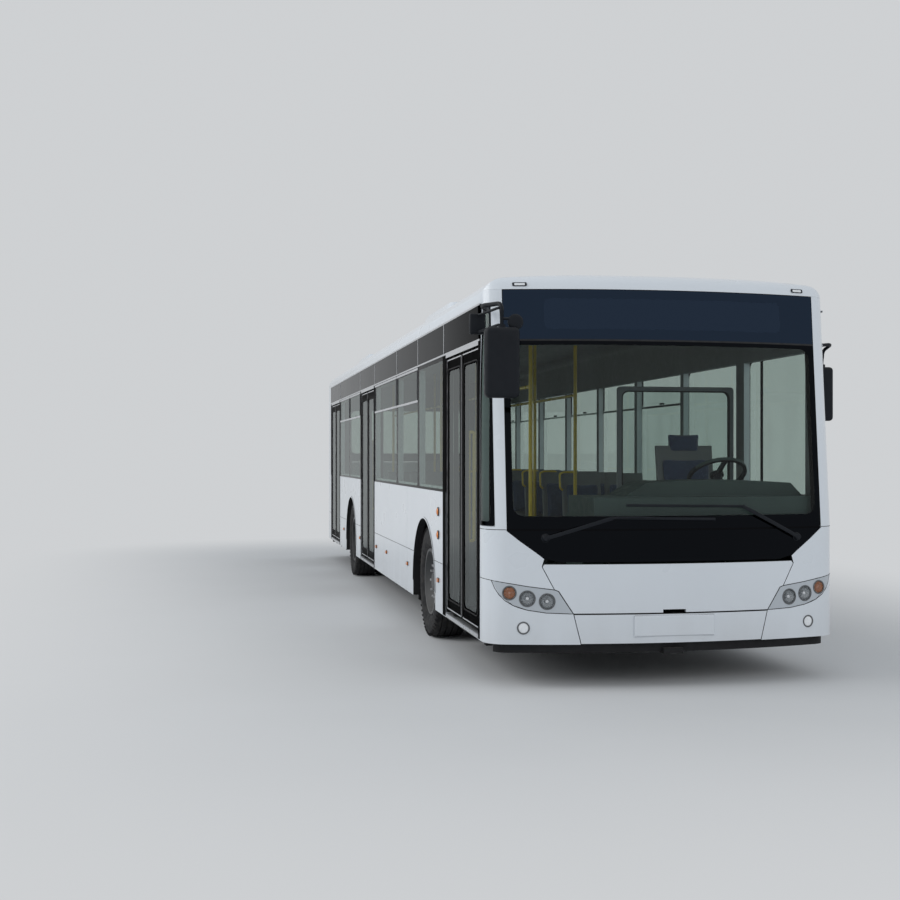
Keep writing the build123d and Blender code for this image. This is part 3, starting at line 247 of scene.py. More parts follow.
def facing(centre, way):
    """The matrix that stands a form's Z axis along a direction at a point, with its Y axis upwards."""
    way = Vector(way).normalized()
    side = Vector((0, 0, 1)).cross(way)
    if side.length < 1e-4:
        side = Vector((0, 1, 0)).cross(way)
    side.normalize()
    turn = Matrix((side, way.cross(side), way)).transposed().to_4x4()
    return Matrix.Translation(Vector(centre)) @ turn


def turned(profile, count=32):
    """A section turned about Z; its points are radius and height, and it ends on the axis or closes."""
    points, faces = [], []
    for number in range(count):
        angle = 2 * math.pi * number / count
        points += [Vector((r * math.cos(angle), r * math.sin(angle), h)) for r, h in profile]
    size = len(profile)
    for number in range(count):
        after = (number + 1) % count
        for place in range(size):
            follow = (place + 1) % size
            if profile[place][0] < 1e-9 and profile[follow][0] < 1e-9:
                continue
            faces.append([number * size + place, after * size + place,
                          after * size + follow, number * size + follow])
    net = net_of(points, faces)
    bmesh.ops.remove_doubles(net, verts=net.verts[:], dist=1e-7)
    bmesh.ops.recalc_face_normals(net, faces=net.faces[:])
    return from_net(net)


def softened(points, bend):
    """A run of points with each corner rounded by a short arc of chords."""
    points = [Vector(point) for point in points]
    chords = 4
    run = [points[0]]
    for before, corner, after in zip(points, points[1:], points[2:]):
        reach = min(bend, (corner - before).length * 0.45, (after - corner).length * 0.45)
        start = corner + (before - corner).normalized() * reach
        end = corner + (after - corner).normalized() * reach
        for chord in range(chords + 1):
            t = chord / chords
            run.append(start * (1 - t) ** 2 + corner * 2 * t * (1 - t) + end * t ** 2)
    return run + [points[-1]]


def swept(points, section, bend=0.0, up=Vector((0, 0, 1))):
    """A closed section carried along a run of points; section points are sideways and upwards."""
    run = softened(points, bend) if bend else [Vector(point) for point in points]
    rows = []
    for number, point in enumerate(run):
        ahead = run[min(number + 1, len(run) - 1)] - point
        behind = point - run[max(number - 1, 0)]
        way = (ahead.normalized() + behind.normalized()).normalized()
        side = way.cross(up)
        side = side.normalized() if side.length > 1e-3 else way.cross(Vector((0, 1, 0))).normalized()
        top = side.cross(way)
        rows.append([point + side * u + top * v for u, v in section])
    size = len(section)
    points = [point for row in rows for point in row]
    faces = [list(range(size)), [len(points) - size + number for number in range(size)]]
    for row in range(len(rows) - 1):
        for number in range(size):
            follow = (number + 1) % size
            base = row * size
            faces.append([base + number, base + follow, base + size + follow, base + size + number])
    return closed(points, faces)


def tube(points, radius, bend=0.0, sides=12, up=Vector((0, 0, 1))):
    """A round bar along a run of points."""
    return swept(points, circle(0, 0, radius, sides), bend, up)


def bar(points, width, height, up=Vector((0, 0, 1))):
    """A flat bar along a run of points."""
    section = rounded(about(0, width / 2), about(0, height / 2), min(width, height) * 0.25, 2)
    return swept(points, section, up=up)


def node_form(name):
    """A merged copy of a CAD node's mesh."""
    net = bmesh.new()
    net.from_mesh(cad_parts[name].data)
    bmesh.ops.remove_doubles(net, verts=net.verts[:], dist=2e-5)
    bmesh.ops.dissolve_limit(net, angle_limit=math.radians(0.3), verts=net.verts[:], edges=net.edges[:])
    return from_net(net)


class Piece:
    """Gathers forms and their finishes into one object that rides on a body."""

    def __init__(self, name, body="body", slot="white_paint"):
        self.name = name
        self.body = body
        self.slot = slot
        self.points = []
        self.faces = []
        self.marks = []
        self.finishes = []

    def add(self, form, finish):
        """Adds a form in one finish, or in the one that a function picks by face centre and normal."""
        points, faces = form
        base = len(self.points)
        self.points += points
        for face in faces:
            chosen = finish
            if callable(finish):
                corners = [points[number] for number in face]
                centre = sum(corners, Vector()) / len(corners)
                normal = Vector()
                for first, second in zip(corners, corners[1:] + corners[:1]):
                    normal += (first - centre).cross(second - centre)
                chosen = finish(centre, normal.normalized())
            if chosen not in self.finishes:
                self.finishes.append(chosen)
            self.faces.append([base + number for number in face])
            self.marks.append(self.finishes.index(chosen))

    def done(self, *nodes, angle=32.0, edge=0.0):
        """Makes the object, which then stands for the named CAD nodes."""
        if not self.faces:
            raise RuntimeError(f"{self.name} has no faces")
        mesh = bpy.data.meshes.new(self.name)
        mesh.from_pydata([tuple(point) for point in self.points], [], self.faces)
        for finish in self.finishes:
            mesh.materials.append(material(finish))
        mesh.polygons.foreach_set("material_index", self.marks)
        mesh.shade_smooth()
        mesh.set_sharp_from_angle(angle=math.radians(angle))
        mesh.validate()
        piece = bpy.data.objects.new(self.name, mesh)
        bpy.context.scene.collection.objects.link(piece)
        if edge:
            bevel = piece.modifiers.new("edges", "BEVEL")
            bevel.width = edge
            bevel.segments = 2
            bevel.limit_method = "ANGLE"
            bevel.angle_limit = math.radians(40)
            bevel.harden_normals = True
        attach(piece, self.body)
        if nodes:
            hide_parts(*nodes)
        return piece


# Forms by modifiers


def held(form=((), ())):
    """An object that holds a form while modifiers work on it."""
    mesh = bpy.data.meshes.new("shaping")
    mesh.from_pydata([tuple(point) for point in form[0]], [], form[1])
    holder = bpy.data.objects.new("shaping", mesh)
    bpy.context.scene.collection.objects.link(holder)
    return holder


def dropped(*holders):
    """Takes holding objects out again, with their meshes."""
    for holder in holders:
        mesh = holder.data
        bpy.data.objects.remove(holder)
        bpy.data.meshes.remove(mesh)


def evaluated(holder):
    """The object as its modifiers leave it."""
    return holder.evaluated_get(bpy.context.evaluated_depsgraph_get())


def taken(holder, *others):
    """The form that an object's modifiers give; it and the others that it needed are taken out."""
    bpy.context.view_layer.update()
    mesh = bpy.data.meshes.new_from_object(evaluated(holder))
    form = [vert.co.copy() for vert in mesh.vertices], [list(face.vertices) for face in mesh.polygons]
    bpy.data.meshes.remove(mesh)
    holder.modifiers.clear()
    dropped(holder, *others)
    if not form[1]:
        raise RuntimeError("the modifiers left no faces")
    return form


def shaped(form, *modifiers):
    """The form with modifiers applied, each named with its settings."""
    holder = held(form)
    for kind, settings in modifiers:
        modifier = holder.modifiers.new("shape", kind)
        for name, value in settings.items():
            setattr(modifier, name, value)
    return taken(holder)


def carved(form, *cutters):
    """The form with closed cutters taken away."""
    body, *tools = [held(part) for part in (form, *cutters)]
    for tool in tools:
        cut = body.modifiers.new("cut", "BOOLEAN")
        cut.operation = "DIFFERENCE"
        cut.solver = "EXACT"
        cut.object = tool
    return taken(body, *tools)


def parted(form, point, way):
    """The form with its faces cut along a plane."""
    net = net_of(*form)
    parts = net.verts[:] + net.edges[:] + net.faces[:]
    bmesh.ops.bisect_plane(net, geom=parts, dist=1e-6, plane_co=point, plane_no=way)
    return from_net(net)


# Repeats by Geometry Nodes


def socket_names(tree):
    """The identifiers of a tree's inputs by name."""
    return {item.name: item.identifier for item in tree.interface.items_tree if item.in_out == "INPUT"}


def repeat_tree(name, spread):
    """A node tree that puts copies of a piece on a ring or along a row."""
    tree = bpy.data.node_groups.new(name, "GeometryNodeTree")
    face = tree.interface
    face.new_socket("Geometry", in_out="OUTPUT", socket_type="NodeSocketGeometry")
    face.new_socket("Piece", in_out="INPUT", socket_type="NodeSocketObject")
    face.new_socket("Count", in_out="INPUT", socket_type="NodeSocketInt")
    if spread == "ring":
        face.new_socket("Radius", in_out="INPUT", socket_type="NodeSocketFloat")
    else:
        face.new_socket("Step", in_out="INPUT", socket_type="NodeSocketVector")
    face.new_socket("Finish", in_out="INPUT", socket_type="NodeSocketMaterial")
    nodes, links = tree.nodes, tree.links
    given = nodes.new("NodeGroupInput")
    result = nodes.new("NodeGroupOutput")
    info = nodes.new("GeometryNodeObjectInfo")
    links.new(given.outputs["Piece"], info.inputs["Object"])
    copies = nodes.new("GeometryNodeInstanceOnPoints")
    links.new(info.outputs["Geometry"], copies.inputs["Instance"])
    if spread == "ring":
        ring = nodes.new("GeometryNodeMeshCircle")
        links.new(given.outputs["Count"], ring.inputs["Vertices"])
        links.new(given.outputs["Radius"], ring.inputs["Radius"])
        links.new(ring.outputs["Mesh"], copies.inputs["Points"])
        share = nodes.new("ShaderNodeMath")
        share.operation = "DIVIDE"
        share.inputs[0].default_value = 2 * math.pi
        links.new(given.outputs["Count"], share.inputs[1])
        angle = nodes.new("ShaderNodeMath")
        angle.operation = "MULTIPLY"
        links.new(nodes.new("GeometryNodeInputIndex").outputs["Index"], angle.inputs[0])
        links.new(share.outputs["Value"], angle.inputs[1])
        turn = nodes.new("ShaderNodeCombineXYZ")
        links.new(angle.outputs["Value"], turn.inputs["Z"])
        links.new(turn.outputs["Vector"], copies.inputs["Rotation"])
    else:
        line = nodes.new("GeometryNodeMeshLine")
        line.mode = "OFFSET"
        links.new(given.outputs["Count"], line.inputs["Count"])
        links.new(given.outputs["Step"], line.inputs["Offset"])
        links.new(line.outputs["Mesh"], copies.inputs["Points"])
    real = nodes.new("GeometryNodeRealizeInstances")
    links.new(copies.outputs["Instances"], real.inputs["Geometry"])
    paint = nodes.new("GeometryNodeSetMaterial")
    links.new(real.outputs["Geometry"], paint.inputs["Geometry"])
    links.new(given.outputs["Finish"], paint.inputs["Material"])
    links.new(paint.outputs["Geometry"], result.inputs["Geometry"])
    return tree


def repeated(form, finish, count, radius=None, step=None):
    """Copies of a form on a ring about Z, or in a row, as one form."""
    spread = "row" if radius is None else "ring"
    name = f"{spread}_of_pieces"
    tree = bpy.data.node_groups.get(name) or repeat_tree(name, spread)
    source, carrier = held(form), held()
    modifier = carrier.modifiers.new("repeat", "NODES")
    modifier.node_group = tree
    names = socket_names(tree)
    modifier[names["Piece"]] = source
    modifier[names["Count"]] = count
    modifier[names["Finish"]] = material(finish)
    if spread == "ring":
        modifier[names["Radius"]] = float(radius)
    else:
        modifier[names["Step"]] = [float(part) for part in step]
    return taken(carrier, source)


# Finishes

BACKDROP = (0.62, 0.635, 0.65)
ROAD_SOIL, DUST, TYRE_SOIL = (0.34, 0.32, 0.29), (0.32, 0.30, 0.27), (0.17, 0.155, 0.135)


class Shade:
    """Builds one material, node by node, on Object coordinates."""

    def __init__(self, name, colour, rough, metal=0.0, coat=0.0):
        self.material = bpy.data.materials.new(name)
        self.material.use_nodes = True
        self.material.diffuse_color = (*colour, 1.0)
        self.tree = self.material.node_tree
        self.shader = self.tree.nodes["Principled BSDF"]
        self.place = self.tree.nodes.new("ShaderNodeTexCoord").outputs["Object"]
        self.set("Base Color", (*colour, 1.0))
        self.set("Roughness", rough)
        self.set("Metallic", metal)
        self.set("Coat Weight", coat)
        self.set("Coat Roughness", 0.06)
        self.relief = None

    def set(self, name, value):
        """A plain value, or a link, on the shader's own socket."""
        self.give(self.shader.inputs[name], value)

    def give(self, socket, value):
        """A plain value or a link on any socket."""
        if isinstance(value, bpy.types.NodeSocket):
            self.tree.links.new(value, socket)
        else:
            socket.default_value = value

    def node(self, kind, inputs, output=0, **settings):
        """A node with its inputs by name or number, and one of its outputs."""
        node = self.tree.nodes.new(kind)
        for name, value in settings.items():
            setattr(node, name, value)
        for name, value in inputs.items():
            self.give(node.inputs[name], value)
        return node.outputs[output]

    def noise(self, scale, detail=3.0, stretch=(1, 1, 1)):
        """A cloudy value between 0 and 1, on Object coordinates scaled by the stretch."""
        where = self.node("ShaderNodeMapping", {"Vector": self.place, "Scale": stretch})
        return self.node("ShaderNodeTexNoise", {"Vector": where, "Scale": scale, "Detail": detail})

    def waves(self, scale, axis):
        """Even stripes across one axis, as a value between 0 and 1."""
        return self.node("ShaderNodeTexWave", {"Vector": self.place, "Scale": scale}, 1, bands_direction=axis)

    def cells(self, scale):
        """The distance to the next of many scattered points."""
        return self.node("ShaderNodeTexVoronoi", {"Vector": self.place, "Scale": scale})

    def surface(self, output):
        """A value of the surface itself, such as its normal."""
        return self.tree.nodes.new("ShaderNodeNewGeometry").outputs[output]

    def part(self, axis):
        """One part of the Object coordinates."""
        return self.node("ShaderNodeSeparateXYZ", {0: self.place}, "XYZ".index(axis))

    def span(self, value, low, high, start=0.35, end=0.65):
        """The value carried from one range to another."""
        return self.node("ShaderNodeMapRange",
                         {"Value": value, "From Min": start, "From Max": end, "To Min": low, "To Max": high})

    def math(self, operation, first, second):
        """One sum on two values."""
        return self.node("ShaderNodeMath", {0: first, 1: second}, operation=operation)

    def mix(self, share, first, second):
        """Two colours mixed by a value."""
        first, second = [(*part, 1.0) if isinstance(part, tuple) and len(part) == 3 else part
                         for part in (first, second)]
        return self.node("ShaderNodeMix", {0: share, 6: first, 7: second}, 2, data_type="RGBA")

    def bump(self, value, depth, strength=1.0):
        """Adds relief of that depth in metres."""
        inputs = {"Height": value, "Distance": depth, "Strength": strength}
        if self.relief:
            inputs["Normal"] = self.relief
        self.relief = self.node("ShaderNodeBump", inputs)
        self.set("Normal", self.relief)


def mixed_shader(tree, share, first, second, output):
    """Two shaders mixed by a value, joined to a tree's output."""
    mixed = tree.nodes.new("ShaderNodeMixShader")
    for number, source in enumerate((share, first, second)):
        tree.links.new(source, mixed.inputs[number])
    tree.links.new(mixed.outputs[0], output)


def tinted(colour, factor):
    """A colour made lighter or darker by a factor."""
    return tuple(min(part * factor, 1.0) for part in colour)


def painted(name, colour, rough=0.30, coat=0.5, change=0.05, soil=0.30, metal=0.0, rim=1.0):
    """Gloss paint: slight change of tone, fine orange peel, road soil and faint streaks low down."""
    shade = Shade(name, colour, rough, metal, coat)
    shade.set("Specular Tint", (rim, rim, rim, 1.0))
    tone = shade.mix(shade.noise(1.3, 4.0), tinted(colour, 1 - change), tinted(colour, 1 + change * 0.5))
    low = shade.span(shade.part("Z"), 1.0, 0.0, 0.24, 0.95)
    streak = shade.span(shade.noise(4.0, 4.0, (1, 1, 0.3)), 0.2, 1.0, 0.35, 0.75)
    film = shade.math("MULTIPLY", shade.math("POWER", low, 2.2), streak)
    film = shade.math("MULTIPLY", film, soil)
    shade.set("Base Color", shade.mix(film, tone, ROAD_SOIL))
    polish = shade.span(shade.noise(3.0, 2.0), rough - 0.03, rough + 0.04)
    shade.set("Roughness", shade.math("ADD", polish, film))
    shade.bump(shade.noise(28.0, 1.0), 0.00003, 0.3)
    return shade.material


def enamelled(name, colour, rough, rim):
    """Smooth dark coating without soil, whose rim sets how strongly it mirrors."""
    return painted(name, colour, rough, 0.0, soil=0.0, metal=1.0, rim=rim)


def moulded(name, colour, rough=0.55, grain=300.0, depth=0.0002, metal=0.0, dust=0.0, gloss=0.5):
    """Moulded plastic or coated metal: fine grain, handling marks, a little dust on top."""
    shade = Shade(name, colour, rough, metal)
    shade.set("Specular IOR Level", gloss)
    tone = shade.mix(shade.noise(3.5, 4.0), tinted(colour, 0.86), tinted(colour, 1.14))
    if dust:
        up = shade.node("ShaderNodeSeparateXYZ", {0: shade.surface("Normal")}, "Z")
        film = shade.math("MULTIPLY", shade.span(up, 0.0, dust, 0.1, 1.0), shade.noise(14.0, 5.0))
        tone = shade.mix(film, tone, DUST)
    shade.set("Base Color", tone)
    shade.set("Roughness", shade.span(shade.noise(18.0, 4.0), rough - 0.09, rough + 0.09))
    shade.bump(shade.cells(grain), depth, 0.5)
    return shade.material


def brushed(name, colour, rough=0.34, change=0.12):
    """Bare or anodised metal with fine lines one way and dull handling marks."""
    shade = Shade(name, colour, rough, 1.0)
    lines = shade.noise(520.0, 2.0, (0.04, 1, 1))
    tone = shade.mix(shade.noise(5.0, 4.0), tinted(colour, 1 - change), tinted(colour, 1 + change))
    shade.set("Base Color", tone)
    marks = shade.math("ADD", lines, shade.noise(9.0, 4.0))
    shade.set("Roughness", shade.span(marks, rough - 0.08, rough + 0.14, 0.8, 1.2))
    shade.bump(lines, 0.0002, 0.4)
    return shade.material


def rubbery(name, colour, soil, rough=0.72):
    """Rubber: cloudy grey bloom, patches of soil and a fine pitted skin."""
    shade = Shade(name, colour, rough)
    shade.set("Specular IOR Level", 0.2)
    bloom = shade.mix(shade.noise(11.0, 5.0), tinted(colour, 0.8), tinted(colour, 1.7))
    film = shade.span(shade.noise(24.0, 4.0), 0.0, soil, 0.45, 0.75)
    shade.set("Base Color", shade.mix(film, bloom, TYRE_SOIL))
    shade.set("Roughness", shade.span(shade.noise(30.0, 3.0), rough - 0.1, rough + 0.1))
    shade.bump(shade.noise(900.0, 2.0), 0.0003, 0.6)
    return shade.material


def glazed(name, tint, share, rough=0.02, mirror=(0.62, 0.65, 0.64)):
    """A pane: tinted view through, mirror by angle, faint dust."""
    shade = Shade(name, tint, rough)
    tree = shade.tree
    tree.nodes.remove(shade.shader)
    veil = shade.span(shade.noise(5.0, 5.0, (1, 1, 0.5)), 0.95, 1.0, 0.4, 0.6)
    colour = shade.mix(veil, tinted(tint, 0.82), tint)
    clear = shade.node("ShaderNodeBsdfTransparent", {"Color": colour})
    polish = shade.span(shade.noise(7.0, 4.0), rough, rough + 0.03)
    shine = shade.node("ShaderNodeBsdfAnisotropic", {"Color": (*mirror, 1.0), "Roughness": polish})
    edge = shade.node("ShaderNodeFresnel", {"IOR": 1.33})
    # Only the side of a face that looks out mirrors; the other side lets all through
    inner = shade.surface("Backfacing")
    weight = shade.math("MULTIPLY", shade.math("MAXIMUM", edge, share), shade.math("SUBTRACT", 1.0, inner))
    mixed_shader(tree, weight, clear, shine, tree.nodes["Material Output"].inputs["Surface"])
    return shade.material


def lensed(name, colour, rough=0.12, flutes=0.0, see=0.0):
    """Lamp plastic: clear depth, fine flutes and small scratches."""
    shade = Shade(name, colour, rough, 0.0, 0.8)
    shade.set("Base Color", shade.mix(shade.noise(30.0, 3.0), tinted(colour, 0.85), tinted(colour, 1.1)))
    shade.set("Roughness", shade.span(shade.noise(60.0, 3.0), rough, rough + 0.08))
    if see:
        shade.set("Alpha", 1.0 - see)
    if flutes:
        shade.bump(shade.waves(flutes, "Z"), 0.0008, 0.5)
    return shade.material


def woven(name, ground, thread):
    """Seat plush: a woven grid, small flecks, sheen and soft nap."""
    shade = Shade(name, ground, 0.85)
    warp, weft = shade.waves(160.0, "X"), shade.waves(160.0, "Y")
    dot = shade.span(shade.cells(55.0), 1.0, 0.0, 0.12, 0.2)
    tone = shade.mix(shade.noise(4.0, 4.0), tinted(ground, 0.8), tinted(ground, 1.25))
    shade.set("Base Color", shade.mix(dot, tone, thread))
    shade.set("Sheen Weight", 0.4)
    shade.bump(shade.math("MULTIPLY", warp, weft), 0.0006, 0.6)
    return shade.material


def speckled(name, colour):
    """Floor covering: speckled vinyl with worn paths."""
    shade = Shade(name, colour, 0.5)
    specks = shade.cells(180.0)
    worn = shade.mix(shade.noise(1.7, 5.0), tinted(colour, 0.8), tinted(colour, 1.2))
    shade.set("Base Color", shade.mix(shade.span(specks, 0.5, 0.0, 0.1, 0.3), worn, (0.42, 0.43, 0.44)))
    shade.set("Roughness", shade.span(shade.noise(8.0, 4.0), 0.4, 0.62))
    shade.bump(specks, 0.0004, 0.4)
    return shade.material


def grounded(name, colour):
    """Studio floor: faint mottling that runs into the backdrop's colour away from the bus."""
    shade = Shade(name, colour, 0.9)
    tree = shade.tree
    shade.set("Specular IOR Level", 0.1)
    tone = shade.mix(shade.noise(0.8, 4.0), tinted(colour, 0.97), tinted(colour, 1.02))
    shade.set("Base Color", tone)
    shade.bump(shade.noise(30.0, 3.0), 0.0003, 0.3)
    # The distance from the bus's outline on the floor
    squares = []
    for axis, limit in (("X", -REAR), ("Y", HALF)):
        past = shade.math("SUBTRACT", shade.math("ABSOLUTE", shade.part(axis), 0.0), limit)
        squares.append(shade.math("POWER", shade.math("MAXIMUM", past, 0.0), 2.0))
    away = shade.math("POWER", shade.math("ADD", *squares), 0.5)
    fade = shade.node("ShaderNodeMapRange", {"Value": away, "From Min": 0.4, "From Max": 5.0},
                      interpolation_type="SMOOTHSTEP")
    rays = tree.nodes.new("ShaderNodeLightPath")
    seen = shade.math("MAXIMUM", rays.outputs["Is Camera Ray"], rays.outputs["Is Glossy Ray"])
    share = shade.math("MULTIPLY", fade, seen)
    glow = shade.node("ShaderNodeEmission", {"Color": (*BACKDROP, 1.0), "Strength": 1.0})
    mixed_shader(tree, share, shade.shader.outputs[0], glow, tree.nodes["Material Output"].inputs["Surface"])
    return shade.material


def material(name):
    """The named finish, made when a piece first asks for it."""
    found = bpy.data.materials.get(f"bus_{name}")
    if found:
        return found
    maker, values = FINISHES[name]
    colours = bpy.context.scene.bus_colours
    values = {key: tuple(getattr(colours, value)) if isinstance(value, str) else value
              for key, value in values.items()}
    return maker(f"bus_{name}", **values)


# How each finish is made; a word in place of a colour names a colour that the user can change
FINISHES = {
    "white_paint": (painted, {"colour": "body"}),
    "silver_paint": (painted, {"colour": (0.50, 0.54, 0.58), "metal": 0.35, "soil": 0.2, "rough": 0.34}),
    "black_gloss": (enamelled, {"colour": "mask", "rough": 0.12, "rim": 0.35}),
    "pane_border": (enamelled, {"colour": "mask", "rough": 0.08, "rim": 0.40}),
    "band_glass": (enamelled, {"colour": (0.022, 0.034, 0.056), "rough": 0.08, "rim": 0.45}),
    "black_frame": (enamelled, {"colour": (0.009, 0.009, 0.010), "rough": 0.38, "rim": 0.25}),
    "seam_black": (moulded, {"colour": (0.012, 0.012, 0.013), "rough": 0.7}),
    "front_glass": (glazed, {"tint": "front_glass", "share": 0.03}),
    "side_glass": (glazed, {"tint": "side_glass", "share": 0.04}),
    "door_glass": (glazed, {"tint": "door_glass", "share": 0.03}),
    "display_glass": (glazed, {"tint": (0.45, 0.52, 0.60), "share": 0.85, "rough": 0.08,
                               "mirror": (0.030, 0.046, 0.076)}),
    "display_back": (moulded, {"colour": (0.040, 0.060, 0.095), "rough": 0.5}),
    "black_plastic": (moulded, {"colour": (0.010, 0.012, 0.016), "rough": 0.50, "dust": 0.06, "gloss": 0.18}),
    "dash_plastic": (moulded, {"colour": (0.050, 0.068, 0.064), "rough": 0.6, "gloss": 0.3}),
    # Grey linings inside the bus, made darker as painted shade for the dim light inside it
    "grey_lining": (moulded, {"colour": (0.22, 0.23, 0.245), "rough": 0.6}),
    "pale_lining": (moulded, {"colour": (0.20, 0.205, 0.205), "rough": 0.6}),
    # Black underframe paint with dust on top, made darker still as painted shade under the bumper and the bus
    "chassis_paint": (moulded, {"colour": (0.017, 0.017, 0.018), "rough": 0.68, "grain": 260.0,
                                "depth": 0.0012, "dust": 0.45, "gloss": 0.2}),
    "engine_paint": (moulded, {"colour": (0.13, 0.135, 0.14), "rough": 0.6, "grain": 180.0,
                               "depth": 0.0016, "dust": 0.5}),
    "bare_steel": (brushed, {"colour": (0.56, 0.57, 0.59)}),
    "door_alloy": (brushed, {"colour": (0.66, 0.67, 0.69), "rough": 0.30}),
    "wheel_silver": (painted, {"colour": (0.60, 0.61, 0.63), "metal": 0.5, "rough": 0.34, "coat": 0.2,
                               "soil": 0.5}),
    "wheel_grey": (painted, {"colour": (0.075, 0.078, 0.082), "metal": 0.5, "rough": 0.42, "coat": 0.0,
                             "soil": 0.4}),
    "nut_steel": (brushed, {"colour": (0.48, 0.48, 0.49), "rough": 0.4}),
    "tyre_rubber": (rubbery, {"colour": (0.014, 0.014, 0.015), "soil": 0.16}),
    "seal_rubber": (rubbery, {"colour": (0.014, 0.014, 0.015), "soil": 0.15}),
    "lamp_rim": (moulded, {"colour": (0.10, 0.105, 0.11), "rough": 0.3, "gloss": 0.6}),
    "lamp_chrome": (brushed, {"colour": (0.80, 0.81, 0.83), "rough": 0.10, "change": 0.04}),
    "lamp_clear": (lensed, {"colour": (0.60, 0.65, 0.68), "see": 0.90}),
    "lamp_bowl": (brushed, {"colour": (0.26, 0.27, 0.28), "rough": 0.22, "change": 0.06}),
    "turn_lens": (lensed, {"colour": (0.44, 0.15, 0.05), "see": 0.62}),
    "lamp_white": (lensed, {"colour": (0.86, 0.88, 0.90), "rough": 0.2, "flutes": 60.0}),
    "lamp_red": (lensed, {"colour": (0.46, 0.012, 0.012), "flutes": 70.0}),
    "lamp_amber": (lensed, {"colour": (0.72, 0.20, 0.015), "flutes": 70.0}),
    "mirror_glass": (brushed, {"colour": (0.82, 0.84, 0.86), "rough": 0.04, "change": 0.02}),
    "seat_plush": (woven, {"ground": "seat", "thread": (0.16, 0.24, 0.42)}),
    "seat_shell": (moulded, {"colour": (0.16, 0.165, 0.17), "rough": 0.45}),
    "rail_dark": (moulded, {"colour": (0.07, 0.072, 0.075), "rough": 0.4, "metal": 0.3}),
    "rail_paint": (painted, {"colour": "rails", "rough": 0.28, "coat": 0.4, "soil": 0.0}),
    "floor_vinyl": (speckled, {"colour": (0.16, 0.165, 0.17)}),
    "stage_floor": (grounded, {"colour": (0.66, 0.665, 0.67)}),
}


def inward(centre, normal):
    """True for a face that looks into the bus."""
    middle = Vector((max(min(centre.x, 4.4), -5.0), 0.0, 1.5))
    return (centre - middle).dot(normal) < -1e-4


def shell_finish(outside, inside="pale_lining"):
    """Picks the outer or the inner finish of a body shell's face."""
    def pick(centre, normal):
        return inside if inward(centre, normal) else outside
    return pick


class BusColours(bpy.types.PropertyGroup):
    """Colours of the bus that a user would change."""
    body: FloatVectorProperty(
        name="Body paint", description="Colour of the outer panels",
        subtype="COLOR", size=3, min=0, max=1, default=(0.70, 0.74, 0.785))
    mask: FloatVectorProperty(
        name="Black panels", description="Colour of the gloss panels round the glass",
        subtype="COLOR", size=3, min=0, max=1, default=(0.008, 0.009, 0.011))
    front_glass: FloatVectorProperty(
        name="Windscreen tint", description="Tint of the windscreen",
        subtype="COLOR", size=3, min=0, max=1, default=(0.86, 0.895, 0.885))
    side_glass: FloatVectorProperty(
        name="Window tint", description="Tint of the side windows",
        subtype="COLOR", size=3, min=0, max=1, default=(0.72, 0.77, 0.74))
    door_glass: FloatVectorProperty(
        name="Door tint", description="Tint of the door panes",
        subtype="COLOR", size=3, min=0, max=1, default=(0.70, 0.75, 0.72))
    seat: FloatVectorProperty(
        name="Seat plush", description="Ground colour of the seat covers",
        subtype="COLOR", size=3, min=0, max=1, default=(0.035, 0.050, 0.105))
    rails: FloatVectorProperty(
        name="Grab rails", description="Colour of the grab rails",
        subtype="COLOR", size=3, min=0, max=1, default=(0.72, 0.50, 0.05))


class BusStage(bpy.types.PropertyGroup):
    """Camera and light."""
    lens: FloatProperty(
        name="Lens", description="Focal length of the view on a 36 mm frame",
        unit="CAMERA", default=51.7, min=10)
    camera_x: FloatProperty(
        name="Camera ahead", description="How far ahead of the bus's middle the camera stands",
        unit="LENGTH", default=14.25)
    camera_y: FloatProperty(
        name="Camera aside", description="How far to the left the camera stands",
        unit="LENGTH", default=-3.11)
    camera_z: FloatProperty(
        name="Camera height", description="Height of the camera",
        unit="LENGTH", default=1.573)
    heading: FloatProperty(
        name="Heading", description="Turn of the camera about the upright",
        unit="ROTATION", default=math.radians(79.48))
    raise_view: FloatProperty(
        name="View shift", description="Upward shift of the picture", default=0.0068)
    key_power: FloatProperty(
        name="Key lamp", description="Power of the large soft lamp",
        unit="POWER", default=900.0)
    fill_power: FloatProperty(
        name="Fill lamp", description="Power of the lamp ahead",
        unit="POWER", default=250.0)
    sky: FloatProperty(
        name="Sky light", description="Strength of the even light", default=0.62, min=0)


ARCH_Z, ARCH_REACH, GROOVE_DEPTH = 0.440, 0.593, 0.003


def wall_finish(centre, normal):
    """White outside, grey lining inside darkened as painted shade, dark round the wheel arches and in the
    grooves of the panels.
    """
    for axle in (FRONT_AXLE, REAR_AXLE):
        x, z = abs(centre.x - axle), max(centre.z - ARCH_Z, 0.0)
        if math.hypot(x, z) < ARCH_REACH and abs(normal.y) < 0.5:
            return "chassis_paint"
    if abs(abs(centre.y) - (HALF - GROOVE_DEPTH)) < 0.0006 and abs(normal.y) > 0.9:
        return "seam_black"
    return "pale_lining" if inward(centre, normal) else "white_paint"


def add_body_shells():
    """Walls, roof, caps, corners and bumpers."""
    for name in ("right_wall", "left_wall", "rear_wall", "roof", "front_cap"):
        piece = Piece(f"{name}_panels")
        piece.add(node_form(name), wall_finish if name.endswith("t_wall") else shell_finish("white_paint"))
        piece.done(name)
    for name in ("front_corners", "front_bumper", "rear_bumper"):
        piece = Piece(f"{name}_skin")
        piece.add(node_form(name), shell_finish("white_paint", "chassis_paint"))
        if name == "front_corners":
            for side in (-1, 1):
                run = corner_joint(side, (MASK_HALF + 0.001, FASCIA), FASCIA)
                piece.add(tube(run, SEAM_RADIUS, 0.0, 8), "seam_black")
        piece.done(name)


class BUS_OT_body_shells(bpy.types.Operator):
    """Makes the walls, roof, caps, corners and bumpers"""
    bl_idname = "bus.body_shells"
    bl_label = "Body shells"

    def execute(self, context):
        add_body_shells()
        return {"FINISHED"}


